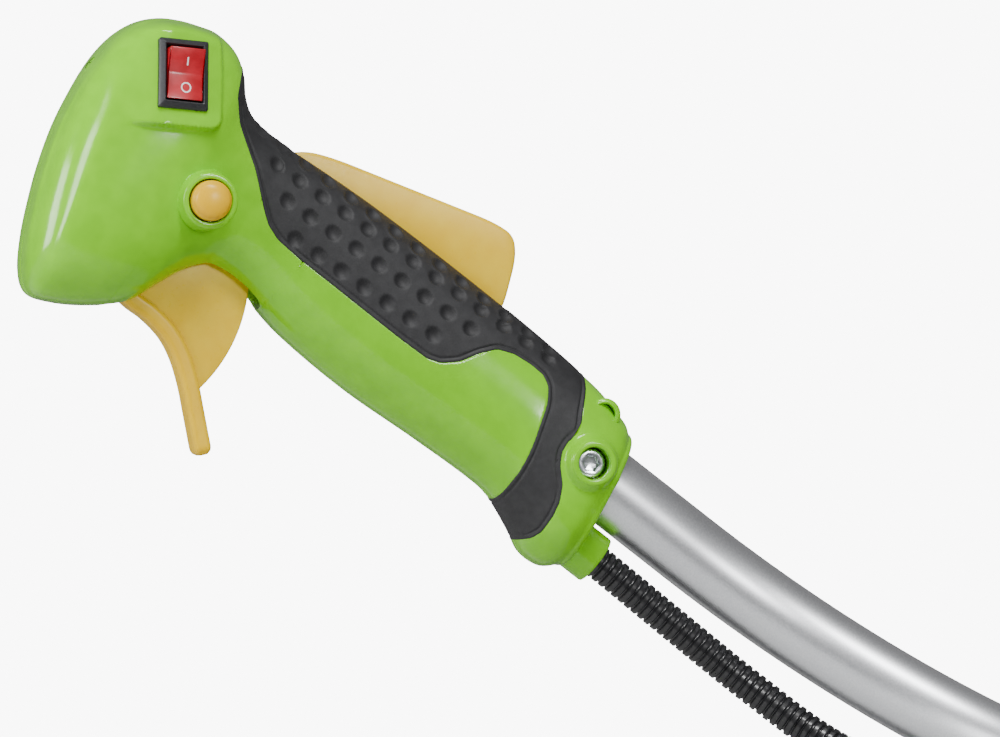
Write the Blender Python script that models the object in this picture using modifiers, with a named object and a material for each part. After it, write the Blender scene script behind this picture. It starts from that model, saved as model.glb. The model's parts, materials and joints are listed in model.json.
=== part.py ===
"""Throttle control handle of a string trimmer on its handlebar arm.

All sizes below are in millimetres in the handle's own axes and become metres when a mesh is made:
x runs along the straight end of the handlebar (head of the handle at -x, bar at +x), z is up (the
safety lever's side), and the clamp screw's axis crosses the bar's axis at x = 0. The left shell is
at -y. An empty carries everything, so that the world origin is the clamped end of the bar.
"""
import math

import bmesh
import bpy
from mathutils import Matrix, Vector

MM = 0.001
GAP = 0.3                        # between two pieces that touch on the real object
WALL = 2.8
PAD_DEPTH = 1.6
STATIONS_PER_RIB = 2
RING_POINTS = 24

# ribs of the body: top (x, z), bottom (x, z), half width, roundness exponent of the section
RIBS = [
    ((-186.6, 5.0), (-186.6, 1.0), 2.0, 2.0),
    ((-185.6, 11.0), (-185.8, -8.0), 9.0, 2.1),
    ((-184.0, 15.5), (-184.2, -18.0), 13.0, 2.2),
    ((-181.3, 21.0), (-181.0, -29.5), 16.5, 2.4),
    ((-178.0, 26.0), (-177.0, -39.5), 20.0, 2.6),
    ((-173.5, 29.6), (-172.3, -49.0), 23.0, 2.8),
    ((-168.5, 31.8), (-166.8, -57.0), 24.6, 3.0),
    ((-163.0, 33.0), (-160.5, -60.6), 25.2, 3.0),
    ((-156.0, 32.2), (-153.0, -58.0), 25.2, 3.0),
    ((-150.5, 29.2), (-144.5, -52.5), 24.4, 3.0),
    ((-145.3, 25.2), (-137.0, -45.5), 22.8, 2.9),
    ((-140.5, 22.0), (-133.0, -36.5), 21.2, 2.8),
    ((-135.5, 20.3), (-130.0, -29.8), 19.6, 2.6),
    ((-130.0, 19.8), (-126.8, -24.9), 18.4, 2.5),
    ((-124.0, 20.2), (-122.8, -22.0), 17.6, 2.4),
    ((-112.0, 21.0), (-112.0, -21.4), 17.0, 2.4),
    ((-95.0, 22.0), (-95.0, -24.6), 17.0, 2.4),
    ((-70.0, 22.4), (-70.0, -25.6), 17.0, 2.4),
    ((-45.0, 22.2), (-45.0, -24.2), 17.0, 2.4),
    ((-25.0, 21.5), (-26.0, -23.4), 17.2, 2.4),
    ((-16.0, 20.8), (-16.5, -24.0), 17.8, 2.4),
    ((-9.0, 20.0), (-6.0, -27.8), 19.0, 2.5),
    ((-3.5, 18.6), (1.0, -31.2), 20.0, 2.6),
    ((1.5, 16.0), (7.5, -31.0), 19.6, 2.6),
    ((3.5, 13.5), (11.0, -27.5), 17.5, 2.4),
]
CAVITY_RIBS = (2.6, 18.4)        # the hollow ends before the bar's clamp
PAD_RIBS = (7.0, 8.0)            # the pad's inner and outer skins start at these ribs

# rubber pad's outline on the side of the grip, (x, z)
PAD_OUTLINE = [
    (-151.0, 34.0), (-149.6, 26.7), (-147.0, 21.2), (-131.7, 7.2), (-122.5, -1.2), (-119.0, -3.6),
    (-114.0, -5.3), (-105.7, -5.8), (-68.0, -6.1), (-58.0, -5.8), (-53.9, -4.6), (-49.6, -0.6),
    (-46.3, 5.0), (-42.8, 9.2), (-38.0, 11.2), (-32.0, 11.9), (-27.5, 11.7), (-24.5, 10.0),
    (-21.8, 5.6), (-17.6, -8.0), (-15.8, -17.0), (-16.4, -23.6), (-19.0, -34.0), (-2.0, -36.0),
    (-1.0, -30.5), (0.6, -25.1), (-1.6, -15.9), (-4.8, -8.5), (-7.3, -3.8), (-8.2, 1.8),
    (-9.5, 9.2), (-14.0, 21.2), (-17.0, 34.0),
]

SLOT_HALF = 6.2                  # trigger slot
TRIGGER_SLOT_X = (-142.0, -104.5)
LEVER_SLOT_HALF = 5.4
LEVER_SLOT_X = (-125.5, -45.2)

TRIGGER_PIVOT = Vector((-149.0, 0.0, -44.0))
TRIGGER_TRAVEL = 22.0            # degrees
TRIGGER_EDGE_RADIUS = 45.7       # round back edge of the web, centred on the pivot
ANCHOR_RADIUS = 35.0             # cable nipple from the pivot
NIPPLE_POCKET_RADIUS = 3.1
WIRE_SLOT_Z = (-4.7, 1.9)         # about the nipple; deeper below, where the arm tips over the wire
BLADE_HALF = 5.6
WEB_HALF = 4.2
BLADE_OUTLINE = [
    (-143.4, -45.0), (-136.0, -46.3), (-131.1, -45.7), (-122.0, -46.9), (-114.5, -50.2),
    (-106.0, -56.7), (-98.0, -63.6), (-95.0, -66.2), (-92.3, -67.5), (-89.8, -66.9), (-88.8, -65.2),
    (-89.9, -63.5), (-102.9, -52.7), (-109.0, -47.1), (-114.6, -44.0), (-120.7, -41.5),
    (-129.0, -40.4), (-142.6, -38.9),
]
WEB_FRONT = [(-119.0, -14.5), (-133.0, -19.0), (-145.0, -29.0), (-153.0, -41.0), (-152.5, -47.5),
             (-147.5, -49.0), (-141.0, -45.2), (-129.0, -43.5), (-118.0, -45.0), (-109.0, -50.0), (-105.5, -52.5)]

LEVER_PIVOT = Vector((-120.0, 0.0, 15.0))
LEVER_HALF = 4.8
LEVER_OUTLINE = [
    (-124.4, 14.0), (-124.0, 18.6), (-119.8, 22.6), (-115.2, 25.0), (-92.2, 32.0), (-64.5, 39.7),
    (-61.0, 40.3), (-58.0, 39.9), (-55.2, 38.2), (-52.4, 34.6), (-46.8, 21.7), (-46.5, 13.0),
    (-62.0, 12.2), (-90.0, 11.6), (-117.0, 10.8), (-122.5, 10.9),
]

BUTTON = Vector((-138.0, 0.0, -9.4))
BUTTON_RADIUS = 5.9
BUTTON_BOSS_TOP = -27.0

SWITCH_CENTRE = Vector((-166.1, -23.4, 14.9))
SWITCH_SHORT = Vector((0.891, 0.115, 0.558)).normalized()
SWITCH_LONG = Vector((-0.561, 0.284, 0.830)).normalized()
ROCKER_SWING = 24.0

CABLE_Y, CABLE_Z = 8.0, -9.3
CABLE_CHANNEL_Z = -17.2
STOP_X = (-106.0, -88.0)

BAR_RADIUS, BAR_WALL = 11.0, 1.8
BAR_START, BAR_STRAIGHT = -38.0, 40.0
BEND_RADIUS, BEND_ANGLE, BEND_ROLL = 160.0, 50.0, 10.0
BAR_TAIL = 70.0

CONDUIT_RADIUS = 5.0
CONDUIT_Z = -19.5
CONDUIT_START, CABLE_BOSS_END = -5.0, 20.6
CONDUIT_OFFSET = 17.5            # from the bar's axis where the clip holds it
CLIP_AT, CONDUIT_END_AT = 20.0, 34.0   # along the bar's last straight
FERRULE_LENGTH, ADJUSTER_LENGTH, WIRE_TAIL_LENGTH = 10.0, 18.0, 19.0

CLAMP_X = -0.8
CLAMP_FACE, CLAMP_SEAT = -22.6, -12.4
COLLAR_SCREW = (-5.0, 14.5)
SHELL_SCREWS = [(-176.0, -2.0), (-163.0, -47.0), (-145.5, 9.0), (-76.0, -17.5)]

# the two leads beyond the ferrule: forward, aside and down from its centre
LEAD_ROUTE = [(0.0, 4.9, 0.0), (8.0, 7.4, 0.8), (17.0, 10.0, 3.5), (26.0, 11.0, 8.5), (34.0, 11.0, 15.0)]
# routes of the switch's two leads through the grip, past the button and under the bar
INNER_LEADS = (
    [(-146, -6.6, 0.8), (-128, -6.8, 0.8), (-104, -9.0, -7.0), (-72, -9.0, -10.0), (-52, -7.2, -14.5),
     (-40, -3.6, -18.2), (-26, -3.6, -18.3), (CONDUIT_START - GAP, -3.6, -18.3)],
    [(-146, -6.0, 3.6), (-128, -6.0, 3.6), (-104, -8.0, -4.2), (-72, -8.0, -7.2), (-52, -6.0, -12.0),
     (-40, -3.6, -16.0), (-26, -3.6, -16.1), (CONDUIT_START - GAP, -3.6, -16.1)],
)


# ------------------------------------------------------------------ scene, materials, small tools
for old in list(bpy.data.objects):
    bpy.data.objects.remove(old, do_unlink=True)

parts = bpy.data.collections.new("trimmer_control_handle")
cutters = bpy.data.collections.new("cutters")
for group in (parts, cutters):
    bpy.context.scene.collection.children.link(group)


def make_material(name, colour, roughness, metallic=0.0):
    material = bpy.data.materials.new(name)
    material.use_nodes = True
    shader = material.node_tree.nodes["Principled BSDF"]
    shader.inputs["Base Color"].default_value = (*colour, 1.0)
    shader.inputs["Roughness"].default_value = roughness
    shader.inputs["Metallic"].default_value = metallic
    return material


GREEN = make_material("lime green plastic", (0.31, 0.62, 0.005), 0.25)
RUBBER = make_material("black rubber", (0.045, 0.045, 0.047), 0.8)
AMBER = make_material("amber plastic", (0.95, 0.6, 0.05), 0.4)
RED = make_material("red plastic", (0.45, 0.02, 0.03), 0.3)
BLACK = make_material("black plastic", (0.03, 0.03, 0.03), 0.45)
SILVER = make_material("satin aluminium", (0.7, 0.71, 0.72), 0.3, 1.0)
ZINC = make_material("zinc plated steel", (0.75, 0.76, 0.78), 0.25, 1.0)
SPRING_STEEL = make_material("spring steel", (0.4, 0.4, 0.42), 0.35, 1.0)
BRASS = make_material("brass", (0.7, 0.5, 0.2), 0.3, 1.0)
WIRE_RED = make_material("red wire insulation", (0.4, 0.03, 0.03), 0.5)


def bar_frame(angle_deg):
    """Point and direction on the bar's bend after angle_deg."""
    angle, roll = math.radians(angle_deg), math.radians(BEND_ROLL)
    side = Vector((0.0, -math.cos(roll), math.sin(roll)))
    point = Vector((BAR_STRAIGHT + BEND_RADIUS * math.sin(angle), 0.0, 0.0))
    point += side * BEND_RADIUS * (1.0 - math.cos(angle))
    return point, Vector((math.cos(angle), 0.0, 0.0)) + side * math.sin(angle)


BEND_END, TAIL_DIR = bar_frame(BEND_ANGLE)
BAR_END = BEND_END + TAIL_DIR * BAR_TAIL
TAIL_DOWN = (Vector((0.0, 0.0, -1.0)) + TAIL_DIR * TAIL_DIR.z).normalized()
TAIL_SIDE = TAIL_DIR.cross(TAIL_DOWN)

datum = bpy.data.objects.new("handle_datum", None)
datum.location = -BAR_END * MM
parts.objects.link(datum)


def tail_point(along, down=0.0, side=0.0):
    """Point beside the bar's last straight: along it, below its axis and to its side."""
    return BEND_END + TAIL_DIR * along + TAIL_DOWN * down + TAIL_SIDE * side


def add(name, data, material=None, pivot=Vector(), group=parts):
    """Object with its origin at pivot; the mesh or curve is already drawn about that origin."""
    item = bpy.data.objects.new(name, data)
    item.location = pivot * MM
    item.parent = datum
    group.objects.link(item)
    if material:
        item.data.materials.append(material)
    if group is cutters:
        item.hide_render = True
        item.display_type = "WIRE"
    return item


def mesh_from(bm, name):
    mesh = bpy.data.meshes.new(name)
    bmesh.ops.recalc_face_normals(bm, faces=bm.faces)
    bm.to_mesh(mesh)
    bm.free()
    return mesh


def turn_to(direction):
    """Rotation that takes +Z to direction."""
    return Vector(direction).to_track_quat("Z", "Y").to_matrix().to_4x4()


def rod(name, start, end, radius, material=None, group=parts, top_radius=None, sides=20, pivot=None):
    """Cylinder or cone between two points."""
    start, end = Vector(start), Vector(end)
    pivot = Vector(pivot) if pivot is not None else (start + end) / 2
    bm = bmesh.new()
    bmesh.ops.create_cone(bm, cap_ends=True, segments=sides, radius1=radius * MM,
                          radius2=(radius if top_radius is None else top_radius) * MM,
                          depth=(end - start).length * MM)
    place = Matrix.Translation(((start + end) / 2 - pivot) * MM) @ turn_to(end - start)
    bmesh.ops.transform(bm, matrix=place, verts=bm.verts)
    return add(name, mesh_from(bm, name), material, pivot, group)


def box(name, low, high, material=None, group=cutters):
    low, high = Vector(low), Vector(high)
    bm = bmesh.new()
    bmesh.ops.create_cube(bm, size=1.0)
    bmesh.ops.transform(bm, matrix=Matrix.Diagonal(((high - low) * MM).to_4d()), verts=bm.verts)
    return add(name, mesh_from(bm, name), material, (low + high) / 2, group)


def turned(name, profile, start, direction, material, steps=24, pivot=None):
    """Profile of (radius, distance along the axis), turned about the axis by a Screw modifier.

    The profile runs from its far end back to start, so that its faces point outwards.
    """
    mesh = bpy.data.meshes.new(name)
    points = [(radius * MM, 0.0, along * MM) for radius, along in profile]
    mesh.from_pydata(points, [(i, i + 1) for i in range(len(points) - 1)], [])
    item = add(name, mesh, material, Vector(start))
    item.rotation_euler = turn_to(direction).to_euler()
    screw = item.modifiers.new("turn", "SCREW")
    screw.steps = screw.render_steps = steps
    screw.use_merge_vertices = True
    screw.merge_threshold = 0.00001
    return item


def to_mesh(item):
    """Swap a curve object for a closed mesh object of the same name and place."""
    bpy.context.view_layer.update()
    graph = bpy.context.evaluated_depsgraph_get()
    mesh = bpy.data.meshes.new_from_object(item.evaluated_get(graph))
    bm = bmesh.new()
    bm.from_mesh(mesh)
    bmesh.ops.remove_doubles(bm, verts=bm.verts, dist=0.000002)
    bmesh.ops.recalc_face_normals(bm, faces=bm.faces)
    bm.to_mesh(mesh)
    bm.free()
    name, group = item.name, item.users_collection[0]
    place, parent = item.matrix_world.copy(), item.parent
    bpy.data.objects.remove(item)
    solid = bpy.data.objects.new(name, mesh)
    group.objects.link(solid)
    solid.parent = parent
    solid.matrix_world = place
    if group is cutters:
        solid.hide_render = True
        solid.display_type = "WIRE"
    return solid


def plate(name, outline, y_low, y_high, material=None, group=parts, pivot=Vector(), holes=()):
    """Flat outline in x and z, thick from y_low to y_high, as a filled 2D curve."""
    curve = bpy.data.curves.new(name, "CURVE")
    curve.dimensions = "2D"
    curve.fill_mode = "BOTH"
    curve.extrude = (y_high - y_low) / 2 * MM
    for loop in (outline, *holes):
        spline = curve.splines.new("POLY")
        spline.points.add(len(loop) - 1)
        for point, (x, z) in zip(spline.points, loop):
            point.co = ((x - pivot.x) * MM, (z - pivot.z) * MM, 0.0, 1.0)
        spline.use_cyclic_u = True
    item = add(name, curve, material, Vector((pivot.x, (y_low + y_high) / 2, pivot.z)), group)
    item.rotation_euler = (math.radians(90.0), 0.0, 0.0)
    return to_mesh(item)


def wire(name, route, radius, material=None, group=parts, resolution=2):
    """Round bar along a POLY route, as a bevelled curve with filled caps."""
    curve = bpy.data.curves.new(name, "CURVE")
    curve.dimensions = "3D"
    curve.bevel_depth = radius * MM
    curve.bevel_resolution = resolution
    curve.use_fill_caps = True
    spline = curve.splines.new("POLY")
    spline.points.add(len(route) - 1)
    for point, place in zip(spline.points, route):
        point.co = (*(Vector(place) * MM), 1.0)
    return add(name, curve, material, Vector(), group)


def smooth_route(points, step):
    """Points every step along a Catmull-Rom curve through the given points."""
    knots = [Vector(p) for p in points]
    knots = [2 * knots[0] - knots[1], *knots, 2 * knots[-1] - knots[-2]]
    route = []
    for a, b, c, d in zip(knots, knots[1:], knots[2:], knots[3:]):
        count = max(1, round((c - b).length / step))
        for i in range(count):
            t = i / count
            route.append(0.5 * (2 * b + (c - a) * t + (2 * a - 5 * b + 4 * c - d) * t * t
                                + (3 * b - a - 3 * c + d) * t ** 3))
    return [*route, knots[-2]]


def combine(target, operation, *others):
    for other in others:
        step = target.modifiers.new(other.name, "BOOLEAN")
        step.operation = operation
        step.solver = "EXACT"
        step.object = other
        if other.users_collection[0] is not cutters:
            parts.objects.unlink(other)
            cutters.objects.link(other)
            other.hide_render = True
            other.display_type = "WIRE"
    return target


def soften(item, width, segments=2, angle=40.0):
    weld = item.modifiers.new("weld", "WELD")
    weld.merge_threshold = 0.00001
    bevel = item.modifiers.new("round", "BEVEL")
    bevel.width = width * MM
    bevel.segments = segments
    bevel.limit_method = "ANGLE"
    bevel.angle_limit = math.radians(angle)
    return item


# ------------------------------------------------------------------------------ lofted body
def rib_at(position):
    """Top, bottom, half width and exponent between the listed ribs (Catmull-Rom)."""
    index = min(max(int(position), 0), len(RIBS) - 2)
    t = position - index
    rows = [[*RIBS[min(max(index + k, 0), len(RIBS) - 1)][0],
             *RIBS[min(max(index + k, 0), len(RIBS) - 1)][1],
             *RIBS[min(max(index + k, 0), len(RIBS) - 1)][2:]] for k in (-1, 0, 1, 2)]
    mixed = [0.5 * (2 * b + (c - a) * t + (2 * a - 5 * b + 4 * c - d) * t * t
                    + (3 * b - a - 3 * c + d) * t ** 3) for a, b, c, d in zip(*rows)]
    return Vector((mixed[0], 0.0, mixed[1])), Vector((mixed[2], 0.0, mixed[3])), mixed[4], mixed[5]


def ring_at(position, inset):
    top, bottom, half_width, power = rib_at(position)
    centre, reach = (top + bottom) / 2, (top - bottom) / 2
    along = reach.normalized()
    height, width = max(reach.length - inset, 0.6), max(half_width - inset, 0.6)
    ring = []
    for i in range(RING_POINTS):
        angle = 2 * math.pi * (i + 0.5) / RING_POINTS
        c, s = math.cos(angle), math.sin(angle)
        size = (abs(c) ** power + abs(s) ** power) ** (-1.0 / power)
        ring.append(centre + along * c * size * height + Vector((0.0, s * size * width, 0.0)))
    return ring


def loft(name, first, last, inset, group=cutters, material=None):
    """Closed skin through the sections from rib first to rib last, moved inwards by inset."""
    count = round((last - first) * STATIONS_PER_RIB)
    bm = bmesh.new()
    rings = [[bm.verts.new(p * MM) for p in ring_at(first + (last - first) * i / count, inset)]
             for i in range(count + 1)]
    for near, far in zip(rings, rings[1:]):
        for i in range(RING_POINTS):
            j = (i + 1) % RING_POINTS
            bm.faces.new((near[i], near[j], far[j], far[i]))
    bm.faces.new(rings[0])
    bm.faces.new(reversed(rings[-1]))
    return add(name, mesh_from(bm, name), material, Vector(), group)


def half_width_at(x, z):
    """Half width of the body's outer skin over a point of the side view."""
    best = None
    for i in range((len(RIBS) - 1) * 8 + 1):
        top, bottom, half_width, power = rib_at(i / 8)
        centre, reach = (top + bottom) / 2, (top - bottom) / 2
        offset = Vector((x, 0.0, z)) - centre
        c = offset.dot(reach) / reach.length_squared
        miss = (offset - reach * c).length
        if best is None or miss < best[0]:
            best = (miss, half_width * max(1.0 - abs(c) ** power, 0.0) ** (1.0 / power))
    return best[1]


def switch_matrix():
    normal = SWITCH_SHORT.cross(SWITCH_LONG).normalized()
    turn = Matrix((SWITCH_SHORT, SWITCH_LONG, normal)).transposed()
    return turn, normal


SWITCH_TURN, SWITCH_NORMAL = switch_matrix()


def switch_box(name, size, z_low, z_high, material=None, group=cutters):
    """Box in the switch's own axes: size across and along, z out of the head."""
    item = box(name, (-size[0] / 2, -size[1] / 2, z_low), (size[0] / 2, size[1] / 2, z_high),
               material, group)
    item.location = (SWITCH_CENTRE + SWITCH_TURN @ Vector((0, 0, (z_low + z_high) / 2))) * MM
    item.rotation_euler = SWITCH_TURN.to_euler()
    return item


def hollow_body(side):
    """One half of the body: outer skin and bosses, hollowed, with pillars, then cut."""
    name, sign = ("left_shell", -1) if side < 0 else ("right_shell", 1)
    last = len(RIBS) - 1
    shell = loft(name, 0, last, 0.0, parts, GREEN)
    combine(shell, "UNION", rod(f"{name}_cable_boss", (-2.0, 0, CONDUIT_Z), (CABLE_BOSS_END, 0, CONDUIT_Z),
                                7.5, group=cutters))
    combine(shell, "UNION", rod(f"{name}_top_boss", (COLLAR_SCREW[0], -13.5, COLLAR_SCREW[1]),
                                (COLLAR_SCREW[0], 13.5, COLLAR_SCREW[1]), 5.2, group=cutters))
    combine(shell, "UNION", rod(f"{name}_clamp_boss", (CLAMP_X, 0, 0), (CLAMP_X, sign * -CLAMP_FACE, 0),
                                6.6, group=cutters, sides=24))
    if side < 0:
        combine(shell, "UNION", switch_box("switch_plateau", (21.0, 28.0), -7.0, -GAP / 2))
        combine(shell, "UNION", rod("button_boss", (BUTTON.x, -15.0, BUTTON.z),
                                    (BUTTON.x, BUTTON_BOSS_TOP, BUTTON.z), 9.6, top_radius=7.6,
                                    group=cutters, sides=28))
    combine(shell, "DIFFERENCE", loft(f"{name}_hollow", *CAVITY_RIBS, WALL))
    for number, (x, z) in enumerate(SHELL_SCREWS, 1):
        reach = half_width_at(x, z) - 1.2
        combine(shell, "UNION", rod(f"{name}_pillar_{number}", (x, 0, z), (x, sign * reach, z),
                                    3.4 if side < 0 else 5.2, group=cutters, sides=16))
    wall = half_width_at(TRIGGER_PIVOT.x, TRIGGER_PIVOT.z) - 1.2
    boss_face = 9.3 if side > 0 else 6.3
    combine(shell, "UNION", rod(f"{name}_trigger_boss", (TRIGGER_PIVOT.x, sign * boss_face, TRIGGER_PIVOT.z),
                                (TRIGGER_PIVOT.x, sign * wall, TRIGGER_PIVOT.z), 5.0, group=cutters))
    combine(shell, "DIFFERENCE", box(f"{name}_other_side", (-200, -45 if side > 0 else -GAP / 2, -80),
                                     (40, GAP / 2 if side > 0 else 45, 60)))
    combine(shell, "DIFFERENCE", pad_solid(f"{name}_pad_recess", sign, 0.0, GAP))
    cut_openings(shell, name, sign)
    return shell


def cut_openings(shell, name, sign):
    """Slots, bores, screw holes and the recess under the rubber pad."""
    combine(
        shell, "DIFFERENCE",
        box(f"{name}_trigger_slot", (TRIGGER_SLOT_X[0], -SLOT_HALF, -62), (TRIGGER_SLOT_X[1], SLOT_HALF, -10)),
        box(f"{name}_lever_slot", (LEVER_SLOT_X[0], -LEVER_SLOT_HALF, 8), (LEVER_SLOT_X[1], LEVER_SLOT_HALF, 34)),
        rod(f"{name}_bar_bore", (-50, 0, 0), (30, 0, 0), BAR_RADIUS + GAP, group=cutters, sides=32),
        rod(f"{name}_conduit_bore", (CONDUIT_START - GAP, 0, CONDUIT_Z), (30, 0, CONDUIT_Z),
            CONDUIT_RADIUS + GAP, group=cutters),
        box(f"{name}_cable_channel", (-50, -5.2, CABLE_CHANNEL_Z - 2.6), (-4, 5.2, CABLE_CHANNEL_Z + 2.6)),
        rod(f"{name}_trigger_pin_hole", (TRIGGER_PIVOT.x, sign * 1, TRIGGER_PIVOT.z),
            (TRIGGER_PIVOT.x, sign * 13.3, TRIGGER_PIVOT.z), 2.3, group=cutters, sides=16),
        rod(f"{name}_lever_pin_hole", (LEVER_PIVOT.x, sign * 1, LEVER_PIVOT.z),
            (LEVER_PIVOT.x, sign * 8.8, LEVER_PIVOT.z), 2.3, group=cutters, sides=16),
        rod(f"{name}_clamp_hole", (CLAMP_X, sign * 5, 0), (CLAMP_X, sign * 30, 0), 2.8, group=cutters, sides=16),
        rod(f"{name}_clamp_recess", (CLAMP_X, sign * -CLAMP_SEAT, 0), (CLAMP_X, sign * 30, 0), 4.75,
            group=cutters, sides=24),
    )
    holes = [*SHELL_SCREWS, COLLAR_SCREW]
    for number, (x, z) in enumerate(holes, 1):
        deep = screw_seat(x, z)
        if sign < 0:
            cuts = [((x, -10.6, z), (x, 1, z), 2.0)]
        else:
            cuts = [((x, -1, z), (x, 40, z), 2.0), ((x, deep, z), (x, 40, z), 3.9)]
        combine(shell, "DIFFERENCE", *(rod(f"{name}_screw_cut_{number}_{i}", *cut, group=cutters, sides=16)
                                       for i, cut in enumerate(cuts)))
    if sign < 0:
        combine(
            shell, "DIFFERENCE",
            switch_box("switch_cutout", (13.6, 19.8), -16.0, 4.0),
            rod("button_bore", (BUTTON.x, -14.0, BUTTON.z), (BUTTON.x, -35.0, BUTTON.z), BUTTON_RADIUS + 0.35,
                group=cutters, sides=28))
        combine(shell, "DIFFERENCE", rod("collar_screw_recess", (COLLAR_SCREW[0], -11.6, COLLAR_SCREW[1]),
                                         (COLLAR_SCREW[0], -30, COLLAR_SCREW[1]), 3.6, group=cutters, sides=16))


def screw_seat(x, z):
    """Distance from the parting plane to the seat under a shell screw's head."""
    if (x, z) == COLLAR_SCREW:
        return 9.5
    return min(half_width_at(x, z) - 4.0, 13.0)


def pad_solid(name, sign, shrink, lift, group=cutters, material=None):
    """Rubber pad of one side: the body's skin inside the pad's outline.

    shrink draws its edges in from the recess, lift grows it past the skin when it is a cutter.
    """
    y_near, y_far = sorted((-sign * 0.7, sign * 30))
    pad = plate(name, shrunk_outline(PAD_OUTLINE, shrink), y_near, y_far, material, group)
    if not lift:
        combine(pad, "INTERSECT", loft(f"{name}_skin", PAD_RIBS[1], len(RIBS) - 1, 0.0))
    depth = PAD_DEPTH if lift else PAD_DEPTH - GAP
    combine(pad, "DIFFERENCE", loft(f"{name}_core", PAD_RIBS[0], len(RIBS) - 1, depth))
    return pad


def shrunk_outline(outline, amount):
    """Outline moved inwards by amount, corner by corner."""
    if not amount:
        return outline
    points = [Vector(p) for p in outline]
    area = sum(a.x * b.y - b.x * a.y for a, b in zip(points, points[1:] + points[:1]))
    inward = 1.0 if area > 0 else -1.0
    moved = []
    for before, here, after in zip(points[-1:] + points[:-1], points, points[1:] + points[:1]):
        along = ((here - before).normalized() + (after - here).normalized()).normalized()
        moved.append(tuple(here + inward * amount * Vector((-along.y, along.x))))
    return moved


# ------------------------------------------------------------------------------ the two halves
def make_casing():
    for side in (-1, 1):
        hollow_body(side)
        name = "left_grip_pad" if side < 0 else "right_grip_pad"
        pad = pad_solid(name, side, GAP, 0.0, parts, RUBBER)
        edge = GAP / 2
        combine(pad, "DIFFERENCE",
                box(f"{name}_other_side", (-200, -45 if side > 0 else -edge, -60),
                    (40, edge if side > 0 else 45, 60)),
                box(f"{name}_lever_slot", (LEVER_SLOT_X[0], -LEVER_SLOT_HALF, 8),
                    (LEVER_SLOT_X[1], LEVER_SLOT_HALF, 34)),
                rod(f"{name}_clamp_clear", (CLAMP_X, 0, 0), (CLAMP_X, side * 40, 0), 6.6 + GAP,
                    group=cutters, sides=24),
                rod(f"{name}_boss_clear", (COLLAR_SCREW[0], 0, COLLAR_SCREW[1]),
                    (COLLAR_SCREW[0], side * 40, COLLAR_SCREW[1]), 5.2 + GAP, group=cutters))


def make_screws():
    """Cross-head tapping screws from the right, and the clamp's M5 socket screw with its nut."""
    def tapping_screw(name, x, z):
        seat = screw_seat(x, z) + GAP
        screw = rod(name, (x, -10.0, z), (x, seat + 0.5, z), 1.7, ZINC, sides=12)
        head = rod(f"{name}_head", (x, seat, z), (x, seat + 2.6, z), 3.5, group=cutters, top_radius=2.6,
                   sides=16)
        cross = [box(f"{name}_cross_{i}", (x - a, seat + 1.0, z - b), (x + a, seat + 4.0, z + b))
                 for i, (a, b) in enumerate(((1.8, 0.4), (0.4, 1.8)))]
        combine(screw, "UNION", head)
        combine(screw, "DIFFERENCE", *cross)

    for number, (x, z) in enumerate(SHELL_SCREWS, 1):
        tapping_screw(f"shell_screw_{number}", x, z)
    tapping_screw("collar_screw", *COLLAR_SCREW)

    head_top = CLAMP_SEAT - GAP - 4.8
    turned("clamp_screw", [(0.0, 33.0), (2.5, 33.0), (2.5, 4.8), (4.25, 4.8), (4.25, 0.4), (3.85, 0.0),
                           (2.3, 0.0), (2.3, 3.0), (0.0, 3.0)],
           (CLAMP_X, head_top, 0), (0, 1, 0), ZINC, steps=24)
    nut = rod("clamp_nut", (CLAMP_X, -CLAMP_SEAT + GAP, 0), (CLAMP_X, -CLAMP_SEAT + GAP + 4.0, 0), 4.4,
              ZINC, sides=6)
    combine(nut, "DIFFERENCE", rod("clamp_nut_bore", (CLAMP_X, 10, 0), (CLAMP_X, 25, 0), 2.5 + GAP,
                                   group=cutters, sides=16))


def make_switch():
    """Panel rocker switch: bezel and body in one, a rocker on an axle line, two blades."""
    housing = switch_box("switch_housing", (15.0, 21.0), 0.0 + GAP / 2, 2.2, BLACK, parts)
    soften(housing, 0.7)
    combine(housing, "UNION", switch_box("switch_body", (12.9, 19.0), -14.0, 1.0))
    combine(housing, "DIFFERENCE", switch_box("switch_pocket", (11.2, 17.2), -7.5, 4.0))

    outline = [(-7.0, -3.2), (-7.7, 2.6), (-7.3, 3.2), (0.0, 2.0), (7.3, 3.2), (7.7, 2.6), (7.0, -3.2)]
    rocker = plate("rocker", outline, -5.3, 5.3, RED)
    axle = SWITCH_CENTRE + SWITCH_NORMAL * 0.6
    upright = Matrix((Vector((0, 1, 0)), Vector((1, 0, 0)), Vector((0, 0, 1)))).transposed()
    swing = Matrix.Rotation(math.radians(ROCKER_SWING / 2), 3, SWITCH_SHORT)
    turn = swing @ SWITCH_TURN @ upright.transposed()
    rocker.data.transform(Matrix.Rotation(math.radians(90.0), 4, "X"))
    rocker.matrix_local = Matrix.Translation(axle * MM) @ turn.to_4x4()
    soften(rocker, 0.4)

    blades = [switch_box(f"switch_blade_{i}", (6.3, 0.8), -22.0, -14.0 - GAP, BRASS, parts) for i in (1, 2)]
    for blade, along in zip(blades, (-5.0, 3.5)):
        blade.location += SWITCH_TURN @ Vector((0.0, along * MM, 0.0))


def arc(centre, radius, first, last, count):
    steps = [math.radians(first + (last - first) * i / count) for i in range(count + 1)]
    return [(centre.x + radius * math.cos(a), centre.z + radius * math.sin(a)) for a in steps]


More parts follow.
